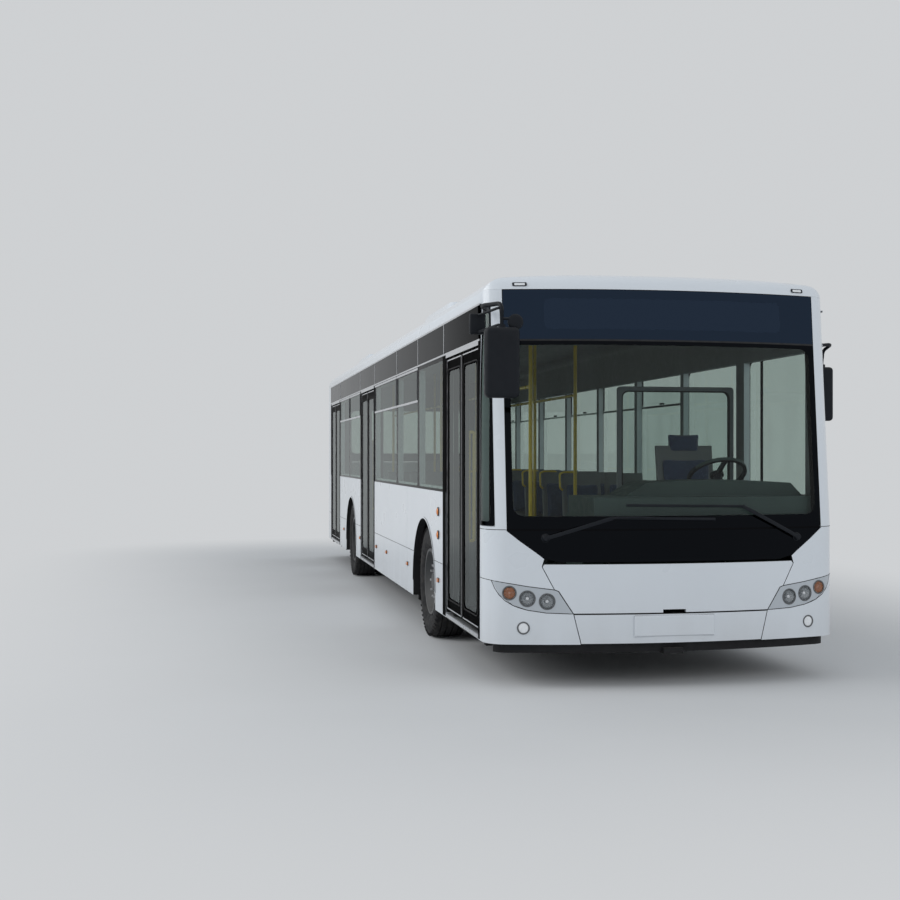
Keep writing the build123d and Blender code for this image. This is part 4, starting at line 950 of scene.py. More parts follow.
def front_plate(loops, front, back):
    """A slab on the front's skin, cut fine enough to follow the bow."""
    us, vs = zip(*[point for loop in loops for point in loop])
    return plate(loops, on_front, front, back, (steps(min(us), max(us), 0.06), bends(min(vs), max(vs))))


# Openings of the black front: half width, lower edge, upper edge, corner radius
WINDSCREEN = (1.096, 1.165, 2.335, 0.075)
SIGN = (0.860, 2.445, 2.655, 0.030)
# Heights of the dark joint between the windscreen's border and the band above
BAND_JOINT = (2.362, 2.374)


def border_finish(centre, normal):
    """Black border, dark joint, and the bluish band above it."""
    if centre.z > BAND_JOINT[1]:
        return "band_glass"
    return "seam_black" if centre.z > BAND_JOINT[0] else "pane_border"


def add_front_glazing():
    """Windscreen, black border, sign window, scuttle and the frame behind them."""
    edge = 0.004
    outer = rounded(about(0, MASK_HALF - edge), inset((FASCIA, MASK_TOP), edge), 0.012, 3)
    clear, sign = [rounded(about(0, half), (low, high), radius)
                   for half, low, high, radius in (WINDSCREEN, SIGN)]
    border = Piece("windscreen_border", slot="black_gloss")
    form = front_plate([outer, clear, sign], *FRONT_PANE)
    for height in BAND_JOINT:
        form = parted(form, Vector((0, 0, height)), Vector((0, 0, 1)))
    border.add(form, border_finish)
    border.done(angle=20)
    glass = Piece("windscreen_glass", slot="glass")
    glass.add(front_plate([clear], *FRONT_PANE), "front_glass")
    glass.done("windscreen", angle=20)
    window = Piece("sign_window", slot="glass")
    window.add(front_plate([sign], -0.001, -0.005), "display_glass")
    window.done(angle=20)
    box = Piece("sign_box", slot="black_frame")
    box.add(front_plate([rounded(about(0, 0.84), (2.46, 2.64), 0.02)], -0.045, -0.085), "display_back")
    lamp = slab(about(0, 0.0035), about(0, 0.0035), about(0, 0.001))
    lamp_rows, row_pitch, column_pitch, middle = 9, 0.018, 0.22, 2.55
    for column in range(-3, 4):
        y = column * column_pitch
        seat = facing(on_front(y, middle, -0.044), front_way(y, middle))
        rows = repeated(lamp, "engine_paint", lamp_rows, step=(0.0, row_pitch, 0.0))
        box.add(moved(rows, seat @ Matrix.Translation((0, -0.072, 0))), "engine_paint")
    box.done()
    scuttle = Piece("scuttle_skin", slot="black_gloss")
    scuttle.add(node_form("scuttle_panel"), "black_gloss")
    scuttle.done("scuttle_panel", angle=25)
    inner = Piece("front_frame_parts", slot="black_frame")
    inner.add(node_form("front_frame"), frame_finish)
    inner.done("front_frame", angle=30)


def frame_finish(centre, normal):
    """White pillars outside, black frame inside."""
    outside = abs(centre.y) > 1.139 and centre.z > 1.07 and not inward(centre, normal)
    return "white_paint" if outside else "black_frame"


class BUS_OT_front_glazing(bpy.types.Operator):
    """Makes the windscreen, its border, the sign window and the scuttle"""
    bl_idname = "bus.front_glazing"
    bl_label = "Front glazing"

    def execute(self, context):
        add_front_glazing()
        return {"FINISHED"}


def bordered_pane(borders, clear, place, x, z, radius, border):
    """A pane, whose black border goes in one piece and whose clear part in another."""
    outer = rounded(x, z, min(radius, 0.02), 3)
    inside = rounded(inset(x, border), inset(z, border), radius)
    borders.add(plate([outer, inside], place, *SIDE_PANE), "pane_border")
    clear.add(plate([inside], place, *SIDE_PANE), "side_glass")


def add_side_glazing():
    """Side panes with borders, hopper frames, the corner pane and the rear window."""
    borders = Piece("side_pane_borders", slot="black_gloss")
    clear = Piece("side_pane_glass", slot="glass")
    hoppers = Piece("hopper_frames", slot="black_frame")
    joint, longest, top, hoppers_end = 0.004, 1.33, PANE_TOP - 0.006, 2.81
    for side, spans in ((-1, PANES_RIGHT), (1, PANES_LEFT)):
        place = on_side(side)
        for low, high in spans:
            parts = max(int(round((high - low) / longest)), 1)
            width = (high - low) / parts
            for number in range(parts):
                x = (low + number * width + joint / 2, low + (number + 1) * width - joint / 2)
                bordered_pane(borders, clear, place, x, (BELT - 0.018 + joint, top), 0.05, 0.035)
                if x[1] < hoppers_end:
                    add_hopper(hoppers, place, x)
    # The driver's window with the bar of its sliding part, and the rear window
    driver_side, x = on_side(1), inset((4.180, 5.380), joint)
    bordered_pane(borders, clear, driver_side, x, (1.150 + joint, top), 0.05, 0.035)
    bordered_pane(borders, clear, on_rear, about(0, 0.960), (1.570, 2.330), 0.07, 0.045)
    corner_pane(borders, clear)
    slide = rounded(about(4.450, 0.018), (1.160, 2.368), 0.006, 2)
    borders.add(plate([slide], driver_side, -0.0012, -0.0095), "black_frame")
    borders.done(angle=25)
    clear.done("side_windows", angle=25)
    hoppers.done(angle=25)


def corner_pane(borders, clear):
    """The narrow pane that wraps the right front corner; its front edge leans with the front."""
    rear, ahead, low, high = 5.504, 5.694, 1.099, 2.624
    width = ahead - rear

    def place(u, z, out):
        x = rear + (ahead - lean(z) - rear) * u / width
        bend = max(x - (CORNER_X - lean(z)), 0.0)
        way = Vector((bend, -math.sqrt(CORNER_R ** 2 - bend ** 2), 0.0)) / CORNER_R
        return Vector((x - bend, -CORNER_Y, z)) + way * (CORNER_R + out)

    outer = rounded((0.0, width), (low, high), 0.012, 3)
    inside = rounded(inset((0.0, width), 0.024), (1.128, 2.596), 0.03)
    cuts = steps(0.0, width, 0.02), steps(low, high, 0.2)
    borders.add(plate([outer, inside], place, *FRONT_PANE, cuts), "pane_border")
    clear.add(plate([inside], place, *FRONT_PANE, cuts), "side_glass")


def add_hopper(piece, place, x):
    """An opening top light: bright rails, black stiles with round ends, and the handle."""
    low, high, stile = 2.066, 2.356, 0.050
    for z in (low, high):
        run = rounded(inset(x, 0.006), about(z, 0.010), 0.003, 2)
        piece.add(plate([run], place, 0.0035, -0.001), "door_alloy")
    for start in (x[0] + 0.012, x[1] - 0.012 - stile):
        run = rounded((start, start + stile), inset((low, high), 0.014), 0.018)
        piece.add(plate([run], place, 0.002, -0.001), "black_plastic")
    run = rounded(about((x[0] + x[1]) / 2, 0.05), (low + 0.012, low + 0.030), 0.006, 2)
    piece.add(plate([run], place, -0.009, -0.024), "black_plastic")


class BUS_OT_side_glazing(bpy.types.Operator):
    """Makes the side panes, hopper frames, corner pane and rear window"""
    bl_idname = "bus.side_glazing"
    bl_label = "Side glazing"

    def execute(self, context):
        add_side_glazing()
        return {"FINISHED"}


def add_band():
    """The dark upper band with its bright seams."""
    band = Piece("upper_band", slot="black_gloss")
    band.add(node_form("window_band"), "pane_border")
    band.done("window_band", angle=25)
    trims = Piece("band_trims", slot="steel")
    for side, spans in ((-1, PANES_RIGHT), (1, PANES_LEFT)):
        place = on_side(side)
        for x in sorted({x for span in spans for x in span}, reverse=True):
            run = rounded(about(x, 0.008), (PANE_TOP + 0.008, BAND_TOP - 0.006), 0.003, 1)
            trims.add(plate([run], place, 0.003, -0.004), "door_alloy")
        for z in (PANE_TOP - 0.001, BAND_TOP - 0.001):
            run = rounded(BAND_ENDS, about(z, 0.007), 0.003, 1)
            trims.add(plate([run], place, 0.003, -0.001, (steps(*BAND_ENDS, 0.6), ())), "door_alloy")
    trims.done()


class BUS_OT_band(bpy.types.Operator):
    """Makes the dark band above the panes and its bright seams"""
    bl_idname = "bus.band"
    bl_label = "Upper band"

    def execute(self, context):
        add_band()
        return {"FINISHED"}


# A door leaf: ends out from the middle of its pair, lower and upper edge, heights of its grab rail's ends
LEAF_ENDS, LEAF_HEIGHTS, LEAF_RAIL = (0.008, 0.618), (0.361, 2.339), (0.95, 1.75)
# Depths of both faces of its frame, seal, strips, pane and of the pane's black border
LEAF_FRAME, LEAF_SEAL, LEAF_STRIP = (-0.008, -0.048), (-0.0055, -0.0085), (-0.0062, -0.0085)
LEAF_PANE, LEAF_BORDER = (-0.010, -0.016), (-0.0086, -0.0098)
# The door openings' trims: half width, heights of sill and head strip, heights of the upright ones
OPENING_HALF, OPENING_STRIPS, OPENING_SIDES = 0.632, ((0.304, 0.332), (2.346, 2.372)), (0.306, 2.374)


def add_leaf(door, centre, place, side):
    """One door leaf with its seals, edge strips and grab rail, and its pane."""
    skin, body = on_side(-1), f"leaf_{door}_{place}"
    near, far = [centre + side * end for end in LEAF_ENDS]
    x, z = (min(near, far), max(near, far)), LEAF_HEIGHTS
    outer = rounded(x, z, 0.012, 3)
    clear = rounded(inset(x, 0.046), inset(z, 0.092), 0.05)
    seal = rounded(inset(x, 0.038), inset(z, 0.084), 0.058)
    view = rounded(inset(x, 0.092), inset(z, 0.104), 0.05)
    leaf = Piece(f"{door}_leaf_{place}_frame", body, "black_frame")
    leaf.add(plate([outer, clear], skin, *LEAF_FRAME), "black_frame")
    leaf.add(plate([seal, clear], skin, *LEAF_SEAL), "seal_rubber")
    # Upright strips from the meeting edge on, then the strips along foot and head
    meeting = "black_frame" if place == "leading" else "door_alloy"
    for start, width, finish in ((0.0, 0.014, "seal_rubber"), (0.017, 0.008, meeting),
                                 (0.596, 0.009, "door_alloy")):
        edge = sorted((near + side * start, near + side * (start + width)))
        leaf.add(plate([rounded(edge, inset(z, 0.011), 0.003, 1)], skin, *LEAF_STRIP), finish)
    for height in (0.372, 2.319):
        run = rounded(inset(x, 0.02), (height, height + 0.009), 0.003, 1)
        leaf.add(plate([run], skin, *LEAF_STRIP), "door_alloy")
    rail_x = x[0] + 0.085 if side > 0 else x[1] - 0.085
    foot, held_off, (low, high) = -1.230, -1.196, LEAF_RAIL
    points = [(rail_x, foot, low), (rail_x, held_off, low), (rail_x, held_off, high), (rail_x, foot, high)]
    leaf.add(tube(points, 0.0125, 0.03, 10, Vector((1, 0, 0))), "rail_paint")
    leaf.done(f"{door}_leaf_{place}", angle=30, edge=0.0015)
    glass = Piece(f"{door}_leaf_{place}_glass", body, "glass")
    glass.add(plate([clear], skin, *LEAF_PANE), "door_glass")
    glass.add(plate([clear, view], skin, *LEAF_BORDER), "black_frame")
    glass.done(f"{door}_glass_{place}", angle=25)


def add_doors():
    """Three pairs of leaves with their columns, and the trims round the openings."""
    for door, centre in DOORS.items():
        for place, side in (("leading", 1), ("trailing", -1)):
            add_leaf(door, centre, place, side)
            column = Piece(f"{door}_column_{place}_parts", f"column_{door}_{place}", "steel")
            column.add(node_form(f"{door}_column_{place}"), "chassis_paint")
            column.done(f"{door}_column_{place}", angle=30)
    trims = Piece("door_surrounds", slot="steel")
    skin = on_side(-1)
    for door, centre in DOORS.items():
        for z in OPENING_STRIPS:
            run = rounded(about(centre, OPENING_HALF), z, 0.004, 2)
            trims.add(plate([run], skin, 0.002, -0.004), "door_alloy")
        for side, width in ((-1, 0.135 if door == "front" else 0.05), (1, 0.05)):
            low = centre + side * (OPENING_HALF - 0.004)
            run = rounded(sorted((low, low + side * width)), OPENING_SIDES, 0.004, 2)
            trims.add(plate([run], skin, 0.0022, -0.002), "black_frame")
            # Dark lining of the jamb, just inside the opening
            jamb = sorted((centre + side * 0.6262, centre + side * 0.6235))
            trims.add(slab(jamb, (-1.2735, -1.2165), (0.340, 2.362), 0.0008, 1), "seal_rubber")
    trims.done(angle=30)


class BUS_OT_doors(bpy.types.Operator):
    """Makes the door leaves, their glass, rails, columns and surrounds"""
    bl_idname = "bus.doors"
    bl_label = "Doors"

    def execute(self, context):
        add_doors()
        return {"FINISHED"}


# The headlamp leaf: the ends of its tip line, its whole seam, and its lamps with their radii and lenses
LEAF_TIP, LEAF_FOOT = (1.232, 0.7307), (1.187, 0.634)
LEAF_SEAM = [LEAF_TIP, (1.000, 0.692), (0.826, 0.670), (0.798, 0.660), (0.699, 0.507), (0.880, 0.514),
             (1.000, 0.532), (1.060, 0.549), (1.098, 0.564), (1.150, 0.596), LEAF_FOOT, (1.214, 0.680),
             LEAF_TIP]
LAMPS = [(0.873, 0.591, 0.047, "lamp_clear"), (1.004, 0.610, 0.047, "lamp_clear"),
         (1.122, 0.648, 0.040, "turn_lens")]
FOG_LAMP = (1.030, 0.412)
# Where a joint runs out on the side wall, behind the front's corner
CORNER_RUN = (5.560, 5.530, 5.4995)


def round_lamp(piece, seat, radius, lens):
    """A round lamp: bezel, bowl, bulb shield and domed lens."""
    bezel = [(radius, 0.0010), (radius + 0.002, 0.0036), (radius + 0.006, 0.0040), (radius + 0.0094, 0.0024),
             (radius + 0.0094, -0.028), (radius, -0.028)]
    piece.add(moved(turned(bezel, 36), seat), "lamp_rim")
    bowl = [(radius, -0.001)]
    bowl += [(radius * math.cos(math.radians(turn)), -0.002 - radius * 0.62 * math.sin(math.radians(turn)))
             for turn in range(10, 90, 16)]
    bowl += [(0.0, -0.002 - radius * 0.62), (0.0, -0.006 - radius * 0.62),
             (radius * 0.6, -0.006 - radius * 0.55), (radius + 0.001, -0.006)]
    piece.add(moved(turned(bowl, 36), seat), "lamp_bowl")
    shield = [(0.0, -0.009), (radius * 0.22, -0.010), (radius * 0.30, -0.016), (radius * 0.30, -radius * 0.5),
              (0.0, -radius * 0.5)]
    piece.add(moved(turned(shield, 24), seat), "lamp_chrome")
    glass = [(0.0, 0.0035), (radius * 0.5, 0.0028), (radius * 0.85, 0.0012), (radius - 0.0005, -0.0006),
             (radius - 0.0005, -0.0024), (radius * 0.6, -0.0012), (0.0, 0.0)]
    piece.add(moved(turned(glass, 36), seat), lens)


def along_front(points, side, out, step=0.03):
    """A run of points of the front, from corner to corner of an outline on one side."""
    run = []
    for (y, z), (next_y, next_z) in zip(points, points[1:]):
        count = max(int(math.dist((y, z), (next_y, next_z)) / step), 1)
        run += [on_front(side * (y + (next_y - y) * part / count), z + (next_z - z) * part / count, out)
                for part in range(count)]
    return run + [on_front(side * points[-1][0], points[-1][1], out)]


def corner_joint(side, start, height):
    """A joint from a point of the front round the corner to the wall."""
    run = along_front([start, (1.270, height)], side, SEAM_DEPTH, 0.012)
    return run + [Vector((x, side * (HALF + SEAM_DEPTH), height)) for x in CORNER_RUN]


def past_leaf(y, z):
    """How far a point lies outside the leaf's tip line."""
    (foot_y, foot_z), (tip_y, tip_z) = LEAF_FOOT, LEAF_TIP
    return abs(y) - foot_y - (z - foot_z) * (tip_y - foot_y) / (tip_z - foot_z)


def add_front_lamps():
    """Headlamp leaves with round lamps, fog lamps."""
    holes = []
    lamps = Piece("round_lamps", slot="lamp_clear")
    for side in (-1, 1):
        for y, z, radius, lens in LAMPS:
            seat = facing(on_front(side * y, z), front_way(side * y, z))
            cut = radius + 0.0096
            holes.append(moved(turned([(0, -0.06), (cut, -0.06), (cut, 0.02), (0, 0.02)], 36), seat))
            round_lamp(lamps, seat, radius, lens)
        y, z = side * FOG_LAMP[0], FOG_LAMP[1]
        round_lamp(lamps, facing(on_front(y, z, 0.001), front_way(y, z)), 0.034, "lamp_white")
    leaves = Piece("headlamp_leaves", slot="lamp_clear")
    leaf = carved(node_form("headlamps"), *holes)
    (foot_y, foot_z), (tip_y, tip_z) = LEAF_FOOT, LEAF_TIP
    rise = (tip_z - foot_z) / (tip_y - foot_y)
    for side in (-1, 1):
        leaf = parted(leaf, Vector((0, side * foot_y, foot_z)), Vector((0, side * rise, -1)).normalized())
    leaves.add(leaf, leaf_finish)
    for side in (-1, 1):
        leaves.add(tube(along_front(LEAF_SEAM, side, SEAM_DEPTH), 0.0032, 0.0, 8), "seam_black")
        leaves.add(tube(corner_joint(side, LEAF_TIP, 0.7378), SEAM_RADIUS, 0.0, 8), "seam_black")
        # Closes the joint under the leaf where it runs out to the side panel
        run = [on_front(side * y, foot_z + (y - foot_y) * 0.336, SEAM_DEPTH)
               for y in (1.190, 1.210, 1.230, 1.250, 1.262, 1.270)]
        run += [Vector((x, side * (HALF + SEAM_DEPTH), 0.6636)) for x in CORNER_RUN]
        leaves.add(bar(run, 0.0022, 0.0060), "white_paint")
    leaves.done("headlamps", angle=30)
    lamps.done(angle=30)


def leaf_finish(centre, normal):
    """Silver leaf up to its tip line, body white past it, dark recess behind and round the fog lamps."""
    if centre.z < 0.47:
        return "black_plastic"
    if past_leaf(centre.y, centre.z) > 0 and not inward(centre, normal):
        return "white_paint"
    return "silver_paint" if not inward(centre, normal) else "black_plastic"


class BUS_OT_front_lamps(bpy.types.Operator):
    """Makes the headlamps and fog lamps"""
    bl_idname = "bus.front_lamps"
    bl_label = "Front lamps"

    def execute(self, context):
        add_front_lamps()
        return {"FINISHED"}


SIDE_MARKERS, MARKER_Z, ROUND_MARKERS_Z = [3.850, 2.180, 0.700, -0.150, -1.750, -3.700], 0.560, (0.930, 1.120)
# The tail lamps: height of the lowest, pitch, and their finishes upwards
TAIL_Z, TAIL_PITCH, TAIL_FINISHES = 0.76, 0.14, {0: "lamp_white", 1: "lamp_red", 2: "lamp_amber"}


def tail_finish(centre, normal):
    """White, red, amber and red upwards."""
    return TAIL_FINISHES.get(int(round((centre.z - TAIL_Z) / TAIL_PITCH)), "lamp_red")


def add_small_lamps():
    """Roof and side marker lamps, tail lamps."""
    markers = Piece("marker_lamp_parts", slot="lamp_amber")
    cup = [(0.0, 0.0185), (0.012, 0.0178), (0.022, 0.0150), (0.029, 0.0100), (0.0320, 0.0040),
           (0.0320, 0.0005), (0.0, 0.0005)]
    ring = [(0.0320, 0.0005), (0.0326, 0.0080), (0.0350, 0.0086), (0.0372, 0.0055), (0.0372, 0.0005)]
    for side in (-1, 1):
        skin = on_side(side)
        for x in SIDE_MARKERS:
            base = rounded(about(x, 0.038), about(MARKER_Z, 0.019), 0.007, 3)
            lens = rounded(about(x, 0.034), about(MARKER_Z, 0.015), 0.010, 4)
            markers.add(plate([base], skin, 0.0050, 0.0003), "black_plastic")
            markers.add(plate([lens], skin, 0.0140, 0.0045), "lamp_amber")
        for z in ROUND_MARKERS_Z:
            seat = facing(Vector((SIDE_MARKERS[0], side * HALF, z)), (0, side, 0))
            markers.add(moved(turned(cup, 28), seat), "lamp_amber")
            markers.add(moved(turned(ring, 28), seat), "black_plastic")
        y, z = side * 1.019, 2.755
        run = rounded(about(y, 0.048), about(z, 0.013), 0.006, 3)
        hole = rounded(about(y, 0.036), about(z, 0.008), 0.004, 3)
        cuts = steps(y - 0.05, y + 0.05, 0.03), bends(z - 0.01, z + 0.01)
        markers.add(plate([run, hole], on_front, 0.0060, 0.0003, cuts), "black_plastic")
        markers.add(plate([hole], on_front, 0.0050, 0.0005, cuts), "lamp_white")
    markers.done("marker_lamps", edge=0.0012)
    tails = Piece("tail_lamp_parts", slot="lamp_red")
    tails.add(node_form("tail_lamps"), tail_finish)
    tails.done("tail_lamps", angle=30)


class BUS_OT_small_lamps(bpy.types.Operator):
    """Makes the marker lamps and tail lamps"""
    bl_idname = "bus.small_lamps"
    bl_label = "Small lamps"

    def execute(self, context):
        add_small_lamps()
        return {"FINISHED"}


def flap_finish(centre, normal):
    """White panel, dark arms behind it."""
    panel_depth = 0.035
    behind = on_front(centre.y, centre.z).x - centre.x
    return "white_paint" if behind < panel_depth else "chassis_paint"


def add_front_flap():
    """The flap over the front service bay with its arms and slot."""
    flap = Piece("front_flap_parts", "front_flap")
    flap.add(node_form("front_flap"), flap_finish)
    flap.done("front_flap", angle=30)


class BUS_OT_front_flap(bpy.types.Operator):
    """Makes the front service flap"""
    bl_idname = "bus.front_flap"
    bl_label = "Front flap"

    def execute(self, context):
        add_front_flap()
        return {"FINISHED"}


# Each wiper: its pivot, its blade's inner end and its blade's outer end, across and up
WIPERS = [((-0.883, 1.020), (-0.436, 1.155), (0.291, 1.142)),
          ((0.932, 1.010), (0.499, 1.228), (-0.338, 1.240))]


def add_wipers():
    """Two wipers: spindle cap, arm, hinge, blade carrier and rubber."""
    wipers = Piece("wiper_parts", slot="black_plastic")
    for pivot, knee, tip in WIPERS:
        seat = facing(on_front(*pivot), front_way(*pivot))
        cap = [(0, 0.030), (0.016, 0.030), (0.022, 0.024), (0.026, 0.004), (0.030, 0.001), (0, 0.001)]
        wipers.add(moved(turned(cap, 28), seat), "black_plastic")
        arm = [on_front(*between(pivot, knee, share), out)
               for share, out in ((0.0, 0.022), (0.18, 0.030), (0.45, 0.026), (0.7, 0.026), (1.0, 0.026))]
        out = front_way(*knee)
        wipers.add(bar(arm, 0.026, 0.010, up=out), "black_plastic")
        start, parts = between(knee, tip, -0.02), 12
        along = [between(start, tip, number / parts) for number in range(parts + 1)]
        wipers.add(bar([on_front(*point, 0.0145) for point in along], 0.018, 0.010, up=out), "black_plastic")
        wipers.add(bar([on_front(*point, 0.006) for point in along], 0.007, 0.011, up=out), "seal_rubber")
        middle = between(start, tip, 0.5)
        half_way = knee[0] + (middle[0] - knee[0]) * 0.5
        link = [on_front(*knee, 0.022), on_front(half_way, knee[1] + 0.006, 0.026), on_front(*middle, 0.021)]
        wipers.add(bar(link, 0.012, 0.007, up=out), "black_plastic")
    wipers.done("wipers", angle=35)


def mirror_head(piece, centre, size, edge):
    """A mirror shell with round edges, its rim and the glass that looks back."""
    spans = [about(middle, span / 2) for middle, span in zip(centre, size)]
    piece.add(slab(*spans, edge, 5), "black_plastic")
    half_y, half_z = size[1] / 2 - edge * 0.72, size[2] / 2 - edge * 0.72
    glass = rounded(about(0, half_y), about(0, half_z), 0.020, 4)
    rim = rounded(about(0, half_y + 0.005), about(0, half_z + 0.005), 0.024, 4)

    def place(u, v, out):
        return Vector((spans[0][0] - out, centre[1] + u, centre[2] + v))

    piece.add(plate([glass], place, 0.0006, -0.003), "mirror_glass")
    piece.add(plate([rim, glass], place, 0.0016, -0.003), "seal_rubber")


# Middles of the kerb mirror's head, its wide-angle one, its round one, and of the driver's mirror
KERB_MIRROR, WIDE_MIRROR = (6.070, -1.250, 2.180), (5.800, -1.355, 2.455)
ROUND_MIRROR, DRIVER_MIRROR = (6.075, -1.158, 2.445), (5.300, 1.370, 2.035)


def add_mirrors():
    """The kerb mirror with its two small ones, and the driver's mirror."""
    mirrors = Piece("mirror_parts", slot="black_plastic")
    mirror_head(mirrors, KERB_MIRROR, (0.100, 0.230, 0.460), 0.034)
    mirror_head(mirrors, WIDE_MIRROR, (0.040, 0.110, 0.140), 0.013)
    mirror_head(mirrors, DRIVER_MIRROR, (0.080, 0.150, 0.400), 0.027)
    x, y, _ = KERB_MIRROR
    main_tube = [(5.580, -1.232, 2.566), (5.820, -1.330, 2.575), (x, y, 2.565), (x, y, 2.380)]
    mirrors.add(tube(main_tube, 0.015, 0.05, 14), "black_plastic")
    for rise in (-0.055, 0.055):
        stay = [(*WIDE_MIRROR[:2], WIDE_MIRROR[2] + rise), (x, -1.270, 2.480 + rise),
                (x, -1.246, 2.475 + rise)]
        mirrors.add(tube(stay, 0.009, 0.012, 10), "black_plastic")
    seat = facing(ROUND_MIRROR, (1, 0, 0))
    disc = [(0.0, 0.0118), (0.030, 0.0100), (0.046, 0.0050), (0.052, -0.0020), (0.052, -0.0100),
            (0.048, -0.0115), (0.0, -0.0115)]
    mirrors.add(moved(turned(disc, 32), seat), "black_plastic")
    glass = [(0.0, -0.0110), (0.045, -0.0110), (0.045, -0.0122), (0.0, -0.0138)]
    mirrors.add(moved(turned(glass, 32), seat), "mirror_glass")
    mirrors.add(tube([(x, y, 2.465), (6.074, -1.170, 2.465)], 0.009), "black_plastic")
    driver_x, driver_y, _ = DRIVER_MIRROR
    driver_tube = [(5.480, 1.215, 2.376), (5.420, 1.385, 2.395), (driver_x, driver_y, 2.355),
                   (driver_x, driver_y, 2.215)]
    mirrors.add(tube(driver_tube, 0.012, 0.045, 12), "black_plastic")
    # Clamps where the tubes meet the heads, and the foot plate on the corner
    for place, z, radius in ((KERB_MIRROR, 2.405, 0.024), (DRIVER_MIRROR, 2.232, 0.020)):
        clamp = [(*place[:2], end) for end in about(z, 0.022)]
        mirrors.add(tube(clamp, radius, 0.0, 16), "black_plastic")
    foot = slab(about(0, 0.034), about(0, 0.034), (-0.0006, 0.010), 0.004)
    mirrors.add(moved(foot, facing((5.680, -1.2760, 2.571), (0.1, -1, 0))), "black_plastic")
    mirrors.done("mirrors", angle=35)


class BUS_OT_mirrors(bpy.types.Operator):
    """Makes the mirrors and their tubes"""
    bl_idname = "bus.mirrors"
    bl_label = "Mirrors"

    def execute(self, context):
        add_mirrors()
        return {"FINISHED"}


class BUS_OT_wipers(bpy.types.Operator):
    """Makes the wipers"""
    bl_idname = "bus.wipers"
    bl_label = "Wipers"

    def execute(self, context):
        add_wipers()
        return {"FINISHED"}


# Wheels: how far out the tyres' middles and the rims' faces lie, number of lugs, ring and form of the nuts
AXLES = [("front", FRONT_AXLE, (1.100,), 1.168), ("rear", REAR_AXLE, (1.112, 0.802), 0.985)]
LUGS, LUG_DEPTH, LUG_TILT, LUG_REACH = 54, 0.0215, 0.35, 0.017
NUTS, NUT_RING = 10, 0.14
NUT = [(0, 0.026), (0.0105, 0.026), (0.0125, 0.022), (0.0125, 0.004), (0.017, 0.003), (0.017, 0), (0, 0)]


def add_tyre(body, name, x, side, tracks):
    """The tyre or the two tyres of a wheel body, with shoulder lugs."""
    tyre = Piece(f"tyre_{name}_rubber", body, "tyre")
    for track in tracks:
        place = on_axle(x, side, track)
        tyre.add(moved(turned(tyre_section(TYRE_RADIUS, TYRE_WIDTH), 96), place), "tyre_rubber")
        block = slab(about(0, 0.0135), about(0, 0.004), about(0, LUG_REACH), 0.002, 1)
        for end in (-1, 1):
            lug = moved(block, Matrix.Rotation(end * LUG_TILT, 4, "Y"))
            ring = repeated(lug, "tyre_rubber", LUGS, radius=TYRE_RADIUS - LUG_DEPTH)
            shift = Matrix.Translation((0, 0, end * (TYRE_WIDTH / 2 - LUG_REACH)))
            tyre.add(moved(ring, place @ shift), "tyre_rubber")
    tyre.done(f"tyre_{name}", angle=30)


def on_axle(x, side, out):
    """The matrix that turns a form about Z into one about an axle, at a distance from the bus's middle."""
    return Matrix.Translation((x, side * out, HUB_Z)) @ Matrix.Rotation(-side * math.pi / 2, 4, "X")


def add_wheels():
    """Tyres with grooves and shoulder lugs, rims with nuts."""
    for axle, x, tracks, face in AXLES:
        for side_name, side in (("left", 1), ("right", -1)):
            name = f"{axle}_{side_name}"
            body = f"wheel_{name}"
            add_tyre(body, name, x, side, tracks)
            rim = Piece(f"rim_{name}_parts", body, "rim")
            rim.add(node_form(f"rim_{name}"), rim_finish(x))
            nuts = repeated(turned(NUT, 6), "nut_steel", NUTS, radius=NUT_RING)
            rim.add(moved(nuts, on_axle(x, side, face)), "nut_steel")
            rim.done(f"rim_{name}", angle=30)


def rim_finish(axle):
    """Bright flange and disc, darker barrel and hub."""
    hub, disc, barrel = 0.105, 0.200, 0.264

    def pick(centre, normal):
        reach = math.hypot(centre.x - axle, centre.z - HUB_Z)
        return "wheel_grey" if disc < reach < barrel or reach < hub else "wheel_silver"
    return pick


def tyre_section(radius, width):
    """Half round shoulders, four grooves and beads; radius and height from the wheel's middle."""
    half = width / 2
    tread = []
    for centre in (-0.078, -0.027, 0.027, 0.078):
        tread += [(radius - 0.0015, centre - 0.006), (radius - 0.013, centre - 0.004),
                  (radius - 0.013, centre + 0.004), (radius - 0.0015, centre + 0.006)]
    side = [(radius - 0.010, half - 0.018), (radius - 0.030, half - 0.006), (radius - 0.075, half - 0.001),
            (radius - 0.105, half - 0.0005), (radius - 0.140, half - 0.008), (radius - 0.172, half - 0.026),
            (radius - 0.190, half - 0.036), (radius - 0.1925, half - 0.048)]
    run = [(r, -h) for r, h in reversed(side)] + tread + side
    return run + [(radius - 0.185, half - 0.062), (radius - 0.185, -half + 0.062)]


class BUS_OT_wheels(bpy.types.Operator):
    """Makes the tyres, rims and nuts"""
    bl_idname = "bus.wheels"
    bl_label = "Wheels"

    def execute(self, context):
        add_wheels()
        return {"FINISHED"}


def house_finish(centre, normal):
    """Dark inside the wheel arches, grey towards the cabin."""
    reach, inner, top = 0.607, 0.588, 1.047
    near = min(abs(centre.x - FRONT_AXLE), abs(centre.x - REAR_AXLE))
    arch = near < reach and abs(centre.y) > inner and centre.z < top
    return "chassis_paint" if arch else "grey_lining"


def floor_finish(centre, normal):
    """Vinyl above, dark undercoat below."""
    return "chassis_paint" if normal.z < -0.5 else "floor_vinyl"


def dash_finish(centre, normal):
    """Grey-green board, black wheel and column."""
    board_top, board_rear = 1.31, 5.138
    return "black_plastic" if centre.z > board_top and centre.x < board_rear else "dash_plastic"


